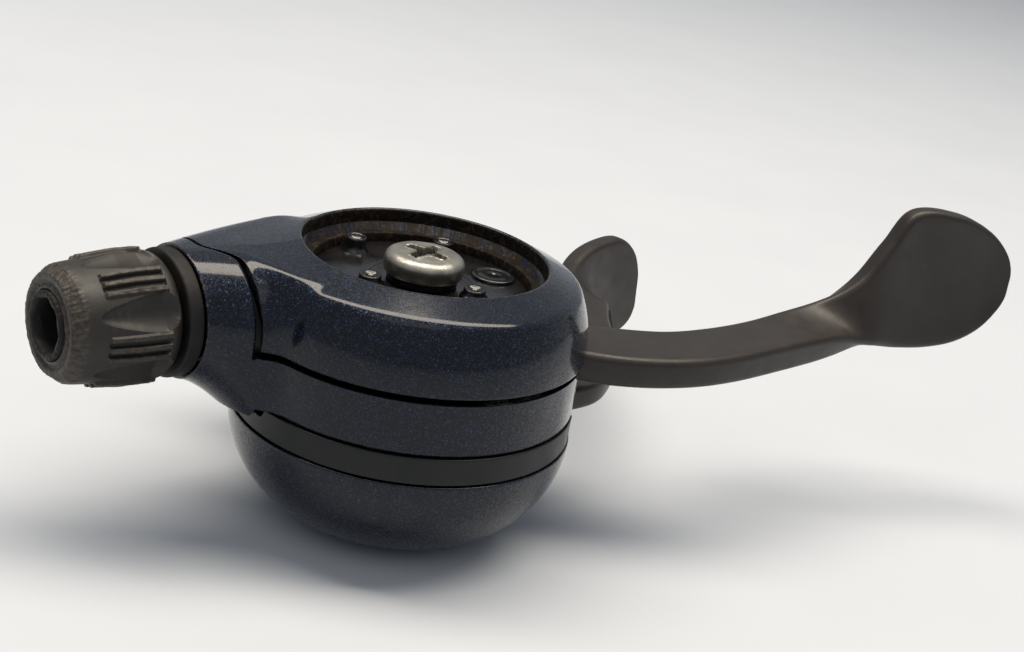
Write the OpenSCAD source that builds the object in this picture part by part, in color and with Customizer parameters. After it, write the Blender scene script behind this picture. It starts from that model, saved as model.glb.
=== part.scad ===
// Trigger shifter pod for a bicycle, with a thumb lever, a release lever and a barrel adjuster.
// The pod's axis is Z and its flat foot stands on z = 0. The adjuster points along -X,
// the levers leave towards +X, and the bar mount is at the back, towards +Y.

/* [Pod] */
// Radius of the pod at the skirt of the upper cover
pod_r = 18.25; // [16:0.05:22]
// Radius of the middle housing, which is drawn in a little
housing_r = 17.95; // [15.8:0.05:21.6]
// Height of the bowl-shaped bottom cover
bowl_h = 11.9; // [10:0.1:14]
// Radius of the rounding of the bowl
bowl_round_r = 12.05; // [11:0.05:13.5]
// Height of the black ring above the bowl
ring_h = 2.85; // [2.6:0.05:3.6]
// Height of the middle housing
housing_h = 5.6; // [5:0.1:6.6]
// Height of the upper cover, from its skirt to its rim
cover_h = 8.7; // [8:0.1:10]
// Wall of the moulded covers
wall = 1.8; // [1.3:0.1:2.2]
// Open seam between the upper cover and the middle housing
top_seam = 0.6; // [0.4:0.05:1]
// Fine seam between the lower covers
low_seam = 0.15; // [0.1:0.05:0.4]

/* [Recess] */
// Radius of the open recess in the top
recess_r = 12.8; // [11:0.1:13.5]
// Depth of the recess, from the rim to its floor plate
recess_depth = 3.4; // [3:0.1:4.2]
// Radius of the shoulder edge round the top
shoulder_r = 16.6; // [15:0.1:17.2]
// Radius of the bulge of the flank below the shoulder
flank_r = 13.25; // [11:0.25:16]
// Drop from the rim to that shoulder edge
shoulder_drop = 1.7; // [1:0.1:2.5]
// Thickness of the floor plate
floor_t = 1.2; // [1:0.1:1.6]
// Height of the ledge round the recess above its floor
ledge_h = 1; // [0.6:0.1:1.4]
// Width of that ledge
ledge_w = 1.4; // [0.8:0.1:1.8]
// Radius of the small upright pegs
peg_r = 1.15; // [0.9:0.05:1.4]
// Radius of the flat round pad
pad_r = 2.4; // [2:0.1:2.8]

/* [Cover screw] */
// Radius of the pan head
screw_head_r = 4.2; // [3.6:0.1:5]
// Height of the pan head
screw_head_h = 2.5; // [2:0.1:3]
// Radius of the screw's shank
screw_r = 2; // [1.5:0.1:2.2]
// Length of the shank below the head
screw_l = 11; // [9:0.5:14]

/* [Pivot and works] */
// Radius of the pivot axle
axle_r = 3.2; // [3:0.1:3.8]
// Radius of the drum's sleeve, which the thumb lever turns on
sleeve_r = 5; // [4.6:0.1:5.6]
// Radius at the bottom of the cable groove
groove_r = 7; // [6.4:0.1:7.6]
// Radius of the drum's flanges
drum_r = 9.3; // [8.6:0.1:10]
// Radius of the notched index wheel
wheel_r = 10; // [9:0.1:10.6]
// Number of notches in the index wheel
wheel_notches = 7; // [5:1:9]
// Angle from one notch to the next
notch_step = 14; // [12:1:16]
// Thickness of the index wheel
wheel_t = 1.6; // [1.2:0.1:1.8]
// Thickness of the steel base plate
base_t = 1.3; // [1:0.1:1.5]
// Thickness of the steel lever plates
plate_t = 1.4; // [1:0.1:1.6]
// Running gap between plates that turn on each other
run_gap = 0.25; // [0.15:0.05:0.4]
// Radial clearance of a turning fit
fit = 0.05; // [0.03:0.01:0.08]
// Radius of a pawl's pin
pin_r = 1; // [0.8:0.1:1.2]

/* [Thumb lever] */
// Thickness of the moulded arm
arm_t = 3.5; // [3:0.1:4]
// Distance of the arm's near edge from the pod's axis
arm_near = 19; // [18:0.1:20]
// Width of the arm
arm_w = 8.2; // [7:0.1:9]
// Distance from the pod's axis to the middle of the thumb pad
reach = 66; // [58:0.5:72]
// Width of the thumb pad
paddle_w = 16.4; // [13:0.1:19]
// Height of the thumb pad
paddle_h = 18.2; // [15:0.1:21]
// Thickness of the thumb pad
paddle_t = 2.8; // [2.2:0.1:3.6]
// Turn of the thumb pad from the arm's line
paddle_turn = 20; // [10:1:30]
// Travel of the thumb lever
lever_travel = 38; // [25:1:40]

/* [Release lever] */
// Thickness of its moulded arm
release_t = 2.4; // [2:0.1:2.6]
// Width of its arm
release_w = 6.5; // [5:0.1:8]
// Distance from the pod's axis to its finger pad
release_reach = 57; // [48:0.5:60]
// Width of its finger pad
release_pad_w = 14.5; // [11:0.5:16]
// Height of its finger pad
release_pad_h = 12; // [9:0.1:12]
// Turn of its finger pad from the X axis
release_turn = 6; // [0:1:30]
// Travel of the release lever
release_travel = 15; // [8:1:16]

/* [Barrel adjuster] */
// Sideways offset of the cable line from the pod's axis
cable_y = 7.6; // [6.5:0.1:9]
// Radius of the socket for the cable housing
socket_r = 2.8; // [2.2:0.05:3]
// Depth of that socket
socket_depth = 8; // [6:0.5:9]
// Radius of the cable's own hole
cable_r = 0.9; // [0.7:0.05:1.2]
// Radius of the thin tube at the mouth
tube_r = 3.35; // [3.2:0.05:3.8]
// Radius of the grip at its outer end
grip_r_out = 5.7; // [5.2:0.1:6.4]
// Radius of the grip at its inner end
grip_r_in = 6.3; // [5.8:0.1:6.8]
// Length of the grip
grip_l = 11; // [9:0.1:13]
// Number of finger flutes round the grip
flutes = 6; // [4:1:8]
// Radius of the threaded stem
stem_r = 2.9; // [2.6:0.05:3]
// Length of the threaded stem behind the grip
stem_l = 9; // [7:0.5:10]
// Travel of the adjuster
adjust_travel = 4; // [2:0.5:5]
// Radius of the snout at its mouth
snout_r = 6.7; // [6.4:0.1:7.2]
// Distance of the snout's mouth from the pod's axis
snout_x = 24.4; // [22:0.1:27]

/* [Bar mount] */
// Distance of the mounting face from the pod's axis
mount_y = 25; // [24.5:0.5:28]
// Width of the mounting boss
mount_w = 13; // [12:0.5:16]
// Radius of the threaded hole
mount_hole_r = 2.1; // [1.6:0.05:2.6]
// Length of the threaded insert
insert_l = 6; // [4:0.5:6.5]

/* [Hidden] */
$fn = 64;
eps = 0.01;

paint = [0.04, 0.07, 0.14];
black = [0.08, 0.08, 0.085];
lever_black = [0.13, 0.125, 0.12];
steel = [0.62, 0.62, 0.6];
dark_steel = [0.2, 0.2, 0.21];
brass = [0.72, 0.58, 0.3];

// Heights of the stacked covers
ring_z = bowl_h + low_seam;
housing_z = ring_z + ring_h + low_seam;
cover_z = housing_z + housing_h + top_seam;
rim_z = cover_z + cover_h;
housing_top = cover_z - top_seam;
floor_z = rim_z - recess_depth;
lip_t = 1.1;
flank_straight = 0.6;
spigot_r = housing_r - wall - fit;

// Heights of the works, from the base plate up
base_z = housing_z + 0.3;
spring_z = base_z + base_t + run_gap;
spring_h = 0.5;
wheel_z = spring_z + spring_h + run_gap;
plate_z = wheel_z + wheel_t + run_gap + 0.2;
drum_z = plate_z + plate_t + run_gap;
flange_t = 0.5;
groove_w = 1.6;
drum_h = 2 * flange_t + groove_w;
cable_z = drum_z + flange_t + groove_w / 2;
arm_z = plate_z + plate_t / 2 - arm_t / 2;
release_z = ring_z + (ring_h - release_t) / 2;
release_plate_z = release_z + (release_t - plate_t) / 2;
release_pad_top = arm_z - 0.5;
release_pad_y = 24.2;
release_pad_t = 2.6;
release_pad_corner = 4.6;
release_bend = [release_reach - 12, 18.6];
release_rise = [release_reach - 7, 22.7];
paddle_corner = 6.6;
screw_dome_r = 6.9;
slot_gap = 0.35;

// Angles of the works, counted from +X
lever_slot_from = -50;
lever_slot_to = lever_travel - 15;
release_slot_from = -31 - release_travel;
release_slot_to = 10;
drive_angle = -150;
hold_angle = 35;
pawl_pin_r = 13.2;
pawl_l = 5;
tip_r = 0.55;
tip_gap = 0.3;
tip_c = wheel_r + tip_r + tip_gap;
pawl_lean = acos((tip_c * tip_c - pawl_pin_r * pawl_pin_r - pawl_l * pawl_l) / (2 * pawl_pin_r * pawl_l));
tip_ahead = asin(pawl_l * sin(pawl_lean) / tip_c);
release_pin_angle = 18;
release_pin_r = 12.6;
spring_angle = 190;
spring_post_r = 8.6;
screw_angles = [-62, 170, 95];
screw_circle_r = housing_r - wall - 2.4;
wedge_r = 60;

// Snout and bar mount
tongue_x = 19.7;
tongue_y = cable_y - 3.4;
tongue_z = cable_z + 3.5;
tongue_seam = 0.25;
root_x = 11;
root_y = 5;
root_r = 10;
plug_r = stem_r + 1.2;
plug_l = 3;
lip_r = housing_r - wall - 1.2;
insert_r = mount_hole_r + 1.25;
mount_z = (ring_z + housing_top) / 2;

// A pie slice from angle a to angle b, between two heights
module wedge(a, b, z0, z1) {
    n = 8;
    translate([0, 0, z0])
        linear_extrude(z1 - z0)
            polygon(concat([[0, 0]],
                [for (i = [0 : n]) wedge_r * [cos(a + (b - a) * i / n), sin(a + (b - a) * i / n)]]));
}

// A flat ring
module ring(r_out, r_in, z0, h) {
    translate([0, 0, z0])
        difference() {
            cylinder(h = h, r = r_out);
            translate([0, 0, -eps]) cylinder(h = h + 2 * eps, r = r_in);
        }
}

// A disc
module disc(r, z0, h) {
    translate([0, 0, z0]) cylinder(h = h, r = r);
}

// A cylinder along the cable line, from x = a towards -X
module cable_rod(r, a, l) {
    translate([-a, cable_y, cable_z]) rotate([0, -90, 0]) cylinder(h = l, r = r);
}

// Half section of the pod above the seam, with its rounded flank and sloping top
module cover_section() {
    intersection() {
        union() {
            translate([pod_r - flank_r, cover_z + flank_straight]) circle(r = flank_r);
            square([pod_r, cover_z + flank_straight]);
        }
        polygon([[0, cover_z], [pod_r, cover_z], [pod_r, rim_z - shoulder_drop],
                 [shoulder_r, rim_z - shoulder_drop], [recess_r, rim_z], [0, rim_z]]);
    }
}

// Half section of the bowl, a quarter round that ends in the flat foot
module bowl_section(inset) {
    intersection() {
        union() {
            translate([pod_r - bowl_round_r, bowl_h]) circle(r = bowl_round_r - inset);
            translate([0, inset]) square([pod_r - bowl_round_r, bowl_h]);
        }
        translate([0, inset]) square([pod_r, bowl_h - inset]);
    }
}

// The snout, blended from the round mouth into the flank of the pod
module snout_block() {
    hull() {
        translate([-snout_x, cable_y, cable_z]) rotate([0, 90, 0])
            cylinder(h = 1, r = snout_r, $fn = 32);
        translate([-root_x, root_y, housing_z])
            cylinder(h = rim_z - shoulder_drop - housing_z, r = root_r, $fn = 32);
    }
}

// What belongs to the upper cover: all above the seam near the pod, and a tongue along the snout's top
module cover_side(seam, tongue_seam) {
    translate([-tongue_x - seam, -30, cover_z - seam]) cube([60, 60, 20]);
    translate([-snout_x - 1, tongue_y - tongue_seam, tongue_z - tongue_seam]) cube([30, 30, 20]);
}

module upper_cover() {
    color(paint)
    difference() {
        union() {
            rotate_extrude() cover_section();
            intersection() {
                snout_block();
                cover_side(0, 0);
            }
        }
        disc(pod_r - wall - 0.2, cover_z - eps, floor_z - floor_t - lip_t - cover_z);
        disc(recess_r, floor_z + ledge_h, recess_depth + 1);
        disc(recess_r - ledge_w, floor_z - floor_t, recess_depth + floor_t + 1);
        disc(recess_r - ledge_w - 1, cover_z, cover_h + 1);
        cable_rod(snout_r - wall, 8, snout_x);
        wedge_slot();
    }
}

// Opening in the flank for the thumb lever
module wedge_slot() {
    wedge(lever_slot_from, lever_slot_to, arm_z - slot_gap, arm_z + arm_t + slot_gap);
}

module main_housing() {
    color(paint)
    difference() {
        union() {
            disc(housing_r, housing_z, housing_h);
            difference() {
                snout_block();
                cover_side(top_seam, tongue_seam);
                disc(pod_r + top_seam / 2, housing_top, 30);
            }
            mount_boss();
        }
        disc(housing_r - wall, housing_z - eps, housing_h + 20);
        cable_rod(stem_r + 0.3, 8, snout_x + 20);
        cable_rod(plug_r + fit, snout_x - plug_l, plug_l + 1);
        wedge_slot();
        translate([0, mount_y - insert_l, mount_z]) rotate([-90, 0, 0])
            cylinder(h = insert_l + 1, r = insert_r + 0.05);
    }
}

// Boss at the back, which bolts to the bar clamp
module mount_boss() {
    inner_y = housing_r - wall - 0.2;
    translate([-mount_w / 2, inner_y, housing_z])
        cube([mount_w, mount_y - inner_y, housing_h]);
    translate([-mount_w / 2, pod_r + 0.4, ring_z])
        cube([mount_w, mount_y - pod_r - 0.4, housing_top - ring_z]);
}

module lower_ring() {
    color(black)
    difference() {
        union() {
            rotate(180) rotate_extrude()
                polygon([[lip_r, ring_z], [housing_r + 0.15, ring_z], [housing_r + 0.15, ring_z + ring_h],
                         [spigot_r, ring_z + ring_h], [spigot_r, base_z], [lip_r, base_z]]);
            for (a = screw_angles)
                rotate(a) translate([screw_circle_r, 0, 0]) disc(2, ring_z + 0.2, base_z - ring_z - 0.4);
        }
        wedge(release_slot_from, release_slot_to, ring_z - 1, base_z + 1);
        for (a = screw_angles)
            rotate(a) translate([screw_circle_r, 0, 0]) disc(1.05 + fit, ring_z - 1, 10);
    }
}

module bottom_cover() {
    boss_r = 4.4;
    color(paint)
    difference() {
        union() {
            difference() {
                rotate_extrude() bowl_section(0);
                rotate_extrude() bowl_section(wall);
                disc(pod_r - wall, bowl_h - 1, 2);
            }
            disc(boss_r, wall / 2, bowl_h - 3.4);
        }
        disc(3.3, -1, 3.4);
        disc(1.6, 0, bowl_h);
    }
}

module bottom_screw() {
    color(dark_steel)
    difference() {
        union() {
            disc(3, 0.3, 2.1);
            disc(1.5, 2.3, bowl_h + 1.1);
        }
        translate([0, 0, -1]) cylinder(h = 2.5, r = 1.6, $fn = 6);
    }
}

module recess_plate() {
    color(dark_steel)
    difference() {
        disc(recess_r - ledge_w - fit, floor_z - floor_t, floor_t);
        disc(screw_r + 0.2, floor_z - 5, 10);
        for (p = pegs)
            rotate(p[0]) translate([p[1], 0, 0]) disc(peg_r * 0.6, floor_z - 5, 10);
    }
}

// Angle, distance and height of each peg
pegs = [[102, 9.6, 1.6], [170, 6, 0.8], [40, 9.8, 1.4], [-63, 6, 0.8]];

module recess_pegs() {
    color(dark_steel)
    for (p = pegs)
        rotate(p[0]) translate([p[1], 0, 0]) {
            difference() {
                disc(peg_r, floor_z, p[2]);
                disc(peg_r * 0.55, floor_z + p[2] - 0.3, 1);
            }
            disc(peg_r * 0.6 - 0.02, floor_z - floor_t + 0.1, floor_t);
        }
}

module recess_pad() {
    color(black)
    rotate(-10) translate([8.6, 0, 0]) disc(pad_r, floor_z, 0.35);
}

module cover_screw() {
    head_z = floor_z + 0.7;
    color(steel)
    difference() {
        union() {
            disc(screw_head_r, head_z, screw_head_h - 1);
            intersection() {
                disc(screw_head_r, head_z, screw_head_h);
                translate([0, 0, head_z + screw_head_h - screw_dome_r]) sphere(r = screw_dome_r);
            }
            disc(screw_r - fit, head_z - screw_l, screw_l + eps);
        }
        for (a = [20, 110])
            rotate(a) translate([-2.4, -0.5, head_z + 0.9]) cube([4.8, 1, 4]);
    }
}

module screw_washer() {
    color(dark_steel)
    ring(screw_head_r - 0.5, screw_r + 0.15, floor_z, 0.7);
}

module pivot_axle() {
    color(steel)
    difference() {
        union() {
            disc(axle_r, bowl_h - 1.8, floor_z - floor_t - bowl_h + 1.8);
            disc(axle_r + 1.4, base_z - 0.5, 0.5);
        }
        disc(screw_r, floor_z - floor_t - screw_l, screw_l + 5);
        disc(1.55, 0, bowl_h + 3);
    }
}

module axle_nut() {
    nut_z = release_plate_z - 2 * run_gap - 2.2;
    color(steel)
    difference() {
        translate([0, 0, nut_z]) cylinder(h = 2.2, r = 5.6, $fn = 6);
        disc(axle_r + 0.02, nut_z - 1, 5);
    }
}

module base_plate() {
    color(steel)
    difference() {
        disc(spigot_r, base_z, base_t);
        disc(axle_r + 0.02, base_z - 1, 5);
        wedge_window();
        for (a = screw_angles)
            rotate(a) translate([screw_circle_r, 0, 0]) disc(1.05 + fit, base_z - 1, 5);
        rotate(hold_angle) translate([pawl_pin_r, 0, 0]) disc(pin_r + 0.02, base_z - 1, 5);
        rotate(spring_angle) translate([spring_post_r, 0, 0]) disc(0.8, base_z - 1, 5);
    }
}

// Window in the base plate for the finger of the release lever
module wedge_window() {
    intersection() {
        ring(13.9, 11.2, base_z - 1, 5);
        wedge(release_pin_angle - release_travel - 8, release_pin_angle + 8, base_z - 1, base_z + 4);
    }
}

module cable_drum() {
    color(dark_steel)
    difference() {
        union() {
            disc(drum_r, drum_z, flange_t);
            disc(groove_r, drum_z, drum_h);
            disc(drum_r, drum_z + flange_t + groove_w, flange_t);
            disc(sleeve_r, wheel_z - 0.2, drum_z - wheel_z + 0.2 + eps);
        }
        disc(axle_r + fit, wheel_z - 5, 20);
        rotate(60) translate([drum_r - 1.9, 0, 0]) disc(1.6, drum_z + flange_t, 10);
    }
}

module index_wheel() {
    color(steel)
    difference() {
        disc(wheel_r, wheel_z, wheel_t);
        disc(sleeve_r + 0.01, wheel_z - 1, 5);
        for (start = [hold_angle + tip_ahead, drive_angle + tip_ahead + notch_step], i = [1 : wheel_notches])
            rotate(start + 4 - i * notch_step) translate([wheel_r, 0, wheel_z])
                rotate(18) cube([2, 1.3, 6], center = true);
    }
}

// A flat spiral of strip, from the drum's sleeve out to its post on the base plate
module drum_spring() {
    turns = 2.6;
    steps = 60;
    strip = 0.35;
    r0 = sleeve_r + 0.3;
    r1 = spring_post_r - 0.1;
    start = spring_angle - turns * 360;
    inner = [for (i = [0 : steps]) (r0 + (r1 - r0) * i / steps)
        * [cos(start + turns * 360 * i / steps), sin(start + turns * 360 * i / steps)]];
    outer = [for (i = [steps : -1 : 0]) (r0 + strip + (r1 - r0) * i / steps)
        * [cos(start + turns * 360 * i / steps), sin(start + turns * 360 * i / steps)]];
    color(dark_steel) {
        translate([0, 0, spring_z]) linear_extrude(spring_h) polygon(concat(inner, outer));
        rotate(spring_angle) translate([spring_post_r, 0, 0]) disc(0.75, base_z, base_t + run_gap + spring_h);
    }
}

// Outline of the thumb lever's arm, seen from above
arm_far = arm_near - arm_w;
arm_outline = [[12.9, -12.9], [15.6, -15.6], [19.6, -arm_near + 1.6], [24, -arm_near + 0.3],
               [29, -arm_near], [reach - 10, -arm_near + 0.3], [reach - 10, -arm_far + 0.6],
               [reach - 24, -arm_far], [31, -arm_far], [24, -arm_far + 1.6], [17.6, -5.6],
               [15.6, -5], [11.6, -11.6]];

// Outline of the steel plate's arm, grown by a clearance
function plate_arm(grow) =
    [[3, -10.4 - grow], [12.4, -11.9 - grow], [15.8, -14.3 - grow], [24, -16.2 - grow],
     [reach - 14 + grow, -16.2 - grow], [reach - 14 + grow, -12.4 + grow], [24, -12.2 + grow],
     [13, -6 + grow]];

module main_lever_plate() {
    color(steel)
    difference() {
        union() {
            disc(pawl_pin_r + 1.6, plate_z, plate_t);
            translate([0, 0, plate_z]) linear_extrude(plate_t)
                polygon(plate_arm(0));
        }
        disc(sleeve_r + fit, plate_z - 1, 5);
        rotate(drive_angle) translate([pawl_pin_r, 0, 0]) disc(pin_r + 0.02, plate_z - 1, 5);
        plate_cut();
    }
}

// The plate keeps only the sectors that carry the pawl and the arm
module plate_cut() {
    difference() {
        ring(30, sleeve_r + 3.6, plate_z - 1, 5);
        wedge(drive_angle - 14, drive_angle + 14, plate_z - 2, plate_z + 5);
        wedge(-75, 0, plate_z - 2, plate_z + 5);
    }
}

// A thumb pad: an upright plate with round corners
module pad(w, h, t, corner) {
    hull()
        for (p = [[-w / 2 + corner, corner], [w / 2 - corner, corner],
                  [-w / 2 + corner, h - corner], [w / 2 - corner, h - corner]])
            translate([p[0], 0, p[1]]) rotate([90, 0, 0])
                cylinder(h = t, r = corner, center = true, $fn = 32);
}

module main_lever_cover() {
    turn_y = -arm_near + 0.6;
    color(lever_black)
    difference() {
        union() {
            translate([0, 0, arm_z]) linear_extrude(arm_t) polygon(arm_outline);
            translate([reach, turn_y, arm_z]) rotate(-paddle_turn)
                pad(paddle_w, paddle_h, paddle_t, paddle_corner);
            hull() {
                translate([reach - 20, -arm_near, arm_z]) cube([1, arm_w - 0.4, arm_t]);
                translate([reach, turn_y, arm_z]) rotate(-paddle_turn)
                    translate([-paddle_w / 2 + 2.4, 0, 1.2]) {
                        rotate([90, 0, 0]) cylinder(h = paddle_t, r = 1.2, center = true, $fn = 32);
                        translate([0, 0, paddle_h * 0.55]) rotate([90, 0, 0])
                            cylinder(h = paddle_t, r = 1.2, center = true, $fn = 32);
                    }
            }
        }
        translate([0, 0, plate_z - fit]) linear_extrude(plate_t + 2 * fit)
            polygon(plate_arm(fit));
    }
}

// A hairpin spring: a small coil with two straight legs
module hairpin(at, z, coil_r, wire, turns, leg_a, leg_b, len_a, len_b) {
    translate([at[0], at[1], z]) {
        ring(coil_r + wire / 2, coil_r - wire / 2, 0, wire * turns);
        rotate(leg_a) translate([0, -coil_r - wire / 2, 0]) cube([len_a, wire, wire]);
        rotate(leg_b) translate([0, coil_r - wire / 2, wire * (turns - 1)]) cube([len_b, wire, wire]);
    }
}

module main_lever_spring() {
    color(steel)
    hairpin([1.1, -12.9], wheel_z - 0.3, 1.6, 0.5, 3, 173, 0, 12, 6);
}

// A pawl: a short arm from its pin to the rim of the index wheel
module pawl_shape() {
    difference() {
        hull() {
            cylinder(h = wheel_t - 0.2, r = pin_r + 0.9, $fn = 32);
            rotate(pawl_lean) translate([pawl_l, 0, 0]) cylinder(h = wheel_t - 0.2, r = tip_r, $fn = 32);
        }
        translate([0, 0, -1]) cylinder(h = 5, r = pin_r + fit);
    }
}

module drive_pawl() {
    color(dark_steel)
    rotate(drive_angle) translate([pawl_pin_r, 0, wheel_z + 0.1]) pawl_shape();
}

module drive_pawl_pin() {
    color(steel)
    rotate(drive_angle) translate([pawl_pin_r, 0, 0])
        disc(pin_r, wheel_z, plate_z + plate_t - wheel_z);
}

module holding_pawl() {
    color(dark_steel)
    rotate(hold_angle) translate([pawl_pin_r, 0, wheel_z + 0.1]) pawl_shape();
}

module holding_pawl_pin() {
    color(steel)
    rotate(hold_angle) translate([pawl_pin_r, 0, 0])
        disc(pin_r, base_z, wheel_z + wheel_t - base_z);
}

module holding_pawl_spring() {
    color(steel)
    rotate(hold_angle) hairpin([pawl_pin_r, 0], base_z + base_t + 0.05, 1.35, 0.35, 2, 150, -100, 3, 3);
}

module drive_pawl_spring() {
    color(steel)
    rotate(drive_angle) hairpin([pawl_pin_r, 0], wheel_z - 0.75, 1.35, 0.35, 2, 150, -100, 3, 3);
}

// Centre line of the release lever's arm, seen from above
release_path = [[16.6, -5.2], [22, -4.4], [30, 1.2], [39, 11.6], release_bend];

module release_lever_plate() {
    color(steel)
    difference() {
        union() {
            disc(axle_r + 3.4, release_plate_z, plate_t);
            for (i = [0 : 2])
                path_slab(i, 2, release_plate_z, plate_t);
            translate([0, 0, release_plate_z]) linear_extrude(plate_t)
                polygon([[0, -5], [15.1, -6], [15.4, -3.2], [0, 5]]);
            rotate(release_pin_angle) translate([0, -1.6, release_plate_z])
                cube([release_pin_r + 1.6, 3.2, plate_t]);
        }
        disc(axle_r + fit, release_plate_z - 1, 5);
        rotate(release_pin_angle) translate([release_pin_r, 0, 0]) disc(0.82, release_plate_z - 1, 5);
    }
}

// One straight stretch of the release lever's arm
module path_slab(i, half, z, t) {
    a = release_path[i];
    b = release_path[i + 1];
    hull() {
        translate([a[0], a[1], z]) cylinder(h = t, r = half, $fn = 32);
        translate([b[0], b[1], z]) cylinder(h = t, r = half, $fn = 32);
    }
}

module release_lever_cover() {
    color(lever_black)
    difference() {
        union() {
            for (i = [0 : 3])
                path_slab(i, i == 0 ? release_w / 2 - 0.6 : release_w / 2, release_z, release_t);
            translate([release_reach - 5, release_pad_y, release_pad_top - release_pad_h])
                rotate(release_turn)
                pad(release_pad_w, release_pad_h, release_pad_t, release_pad_corner);
            hull() {
                translate([release_bend[0], release_bend[1], release_z])
                    cylinder(h = release_t, r = release_w / 2, $fn = 32);
                translate([release_rise[0], release_rise[1], arm_z - 9])
                    cylinder(h = 6.5, r = 1.4, $fn = 32);
            }
        }
        disc(16.5, release_z - 1, 10);
        for (i = [0 : 2])
            path_slab(i, 2 + fit, release_plate_z - fit, plate_t + 2 * fit);
    }
}

module release_pin() {
    color(steel)
    rotate(release_pin_angle) translate([release_pin_r, 0, 0])
        disc(0.8, release_plate_z, wheel_z + wheel_t - release_plate_z);
}

// A round-wire torsion spring swept along its helix
module release_lever_spring() {
    turns = 3;
    steps = 22;
    sides = 8;
    wire = 0.35;
    coil = 7;
    z0 = release_plate_z - run_gap - turns * 0.85 - wire;
    n = turns * steps;
    pts = [for (i = [0 : n]) for (j = [0 : sides - 1])
        let (a = i * 360 / steps, b = j * 360 / sides, r = coil + wire * cos(b))
        [r * cos(a), r * sin(a), z0 + 0.85 * i / steps + wire * sin(b)]];
    side_faces = [for (i = [0 : n - 1]) for (j = [0 : sides - 1])
        [i * sides + j, i * sides + (j + 1) % sides, (i + 1) * sides + (j + 1) % sides, (i + 1) * sides + j]];
    ends = [[for (j = [sides - 1 : -1 : 0]) j], [for (j = [0 : sides - 1]) n * sides + j]];
    color(steel) polyhedron(points = pts, faces = concat(side_faces, ends));
}

module adjuster_collar() {
    color(black)
    difference() {
        union() {
            cable_rod(snout_r - 0.5, snout_x, 1.6);
            cable_rod(plug_r, snout_x - plug_l, plug_l + 0.5);
        }
        cable_rod(stem_r + fit, snout_x - 5, 12);
    }
}

grip_x = snout_x + 1.6 + 0.3;
flute_turn = 5;

module adjuster_grip() {
    color(lever_black)
    difference() {
        translate([-grip_x, cable_y, cable_z]) rotate([0, -90, 0]) rotate_extrude()
            polygon([[0, 0], [grip_r_in - 1.2, 0], [grip_r_in, 1.4], [grip_r_in, 4.6],
                     [grip_r_out, grip_l - 1.4], [grip_r_out - 0.9, grip_l - 0.2],
                     [grip_r_out - 1.1, grip_l], [0, grip_l]]);
        cable_rod(tube_r + 0.01, grip_x - 1, grip_l + 2);
        cable_rod(stem_r + 1.6, grip_x - 1, 2.6);
        for (i = [0 : flutes - 1])
            translate([-grip_x - 2, cable_y, cable_z]) rotate([i * 360 / flutes + flute_turn, 0, 0])
                translate([0, 0, grip_r_in + 0.95]) rotate([0, -90, 0]) cylinder(h = grip_l, r = 1.6);
    }
}

module adjuster_stem() {
    color(dark_steel)
    difference() {
        union() {
            cable_rod(tube_r, grip_x + 2.2, grip_l - 1.8);
            cable_rod(stem_r, grip_x - stem_l, stem_l + 3);
        }
        cable_rod(socket_r, grip_x + grip_l + 0.4 - socket_depth, socket_depth + 1);
        cable_rod(cable_r, 0, 60);
    }
}

module adjuster_detent() {
    color(brass)
    difference() {
        cable_rod(stem_r + 1.4, grip_x - 0.2, 1.4);
        cable_rod(stem_r + fit, grip_x - 1, 5);
    }
}

module mount_insert() {
    color(brass)
    translate([0, mount_y - insert_l, mount_z]) rotate([-90, 0, 0])
        difference() {
            cylinder(h = insert_l, r = insert_r);
            translate([0, 0, -1]) cylinder(h = insert_l + 2, r = mount_hole_r);
        }
}

module housing_screws() {
    color(steel)
    for (a = screw_angles)
        rotate(a) translate([screw_circle_r, 0, 0]) {
            disc(1.05, ring_z + 0.4, base_z + base_t - ring_z - 0.4);
            disc(1.6, base_z + base_t, 0.85);
        }
}

upper_cover();
main_housing();
lower_ring();
bottom_cover();
bottom_screw();
recess_plate();
recess_pegs();
recess_pad();
cover_screw();
screw_washer();
pivot_axle();
axle_nut();
base_plate();
cable_drum();
index_wheel();
drum_spring();
main_lever_plate();
main_lever_cover();
main_lever_spring();
drive_pawl();
drive_pawl_pin();
holding_pawl();
holding_pawl_pin();
holding_pawl_spring();
drive_pawl_spring();
release_lever_plate();
release_lever_cover();
release_pin();
release_lever_spring();
adjuster_collar();
adjuster_grip();
adjuster_stem();
adjuster_detent();
mount_insert();
housing_screws();
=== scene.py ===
"""Looks of a bicycle trigger shifter: painted pod, satin ring, moulded levers, ribbed adjuster, zinc screw.

Lengths are worked out in millimetres and put into the meshes in metres. The pod's axis is Z,
the adjuster points along -X and the levers leave towards +X.
"""

import bmesh
import bpy
import numpy as np
from mathutils import Matrix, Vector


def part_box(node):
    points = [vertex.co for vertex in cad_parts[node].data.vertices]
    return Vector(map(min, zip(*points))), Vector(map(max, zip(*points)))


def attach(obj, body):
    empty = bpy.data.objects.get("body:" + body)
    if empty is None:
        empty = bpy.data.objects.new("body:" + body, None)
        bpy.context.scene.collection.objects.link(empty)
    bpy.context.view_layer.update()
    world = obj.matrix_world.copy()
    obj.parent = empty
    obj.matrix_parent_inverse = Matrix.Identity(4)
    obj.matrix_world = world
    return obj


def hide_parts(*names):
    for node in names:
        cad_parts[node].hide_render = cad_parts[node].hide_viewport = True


bl_info = {
    "name": "Trigger Shifter Looks",
    "version": (1, 0, 0),
    "blender": (4, 5, 0),
    "location": "View3D > Sidebar > Shifter",
    "description": "Builds the visible pieces, materials and stage of a bicycle trigger shifter",
    "category": "Object",
}

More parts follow.
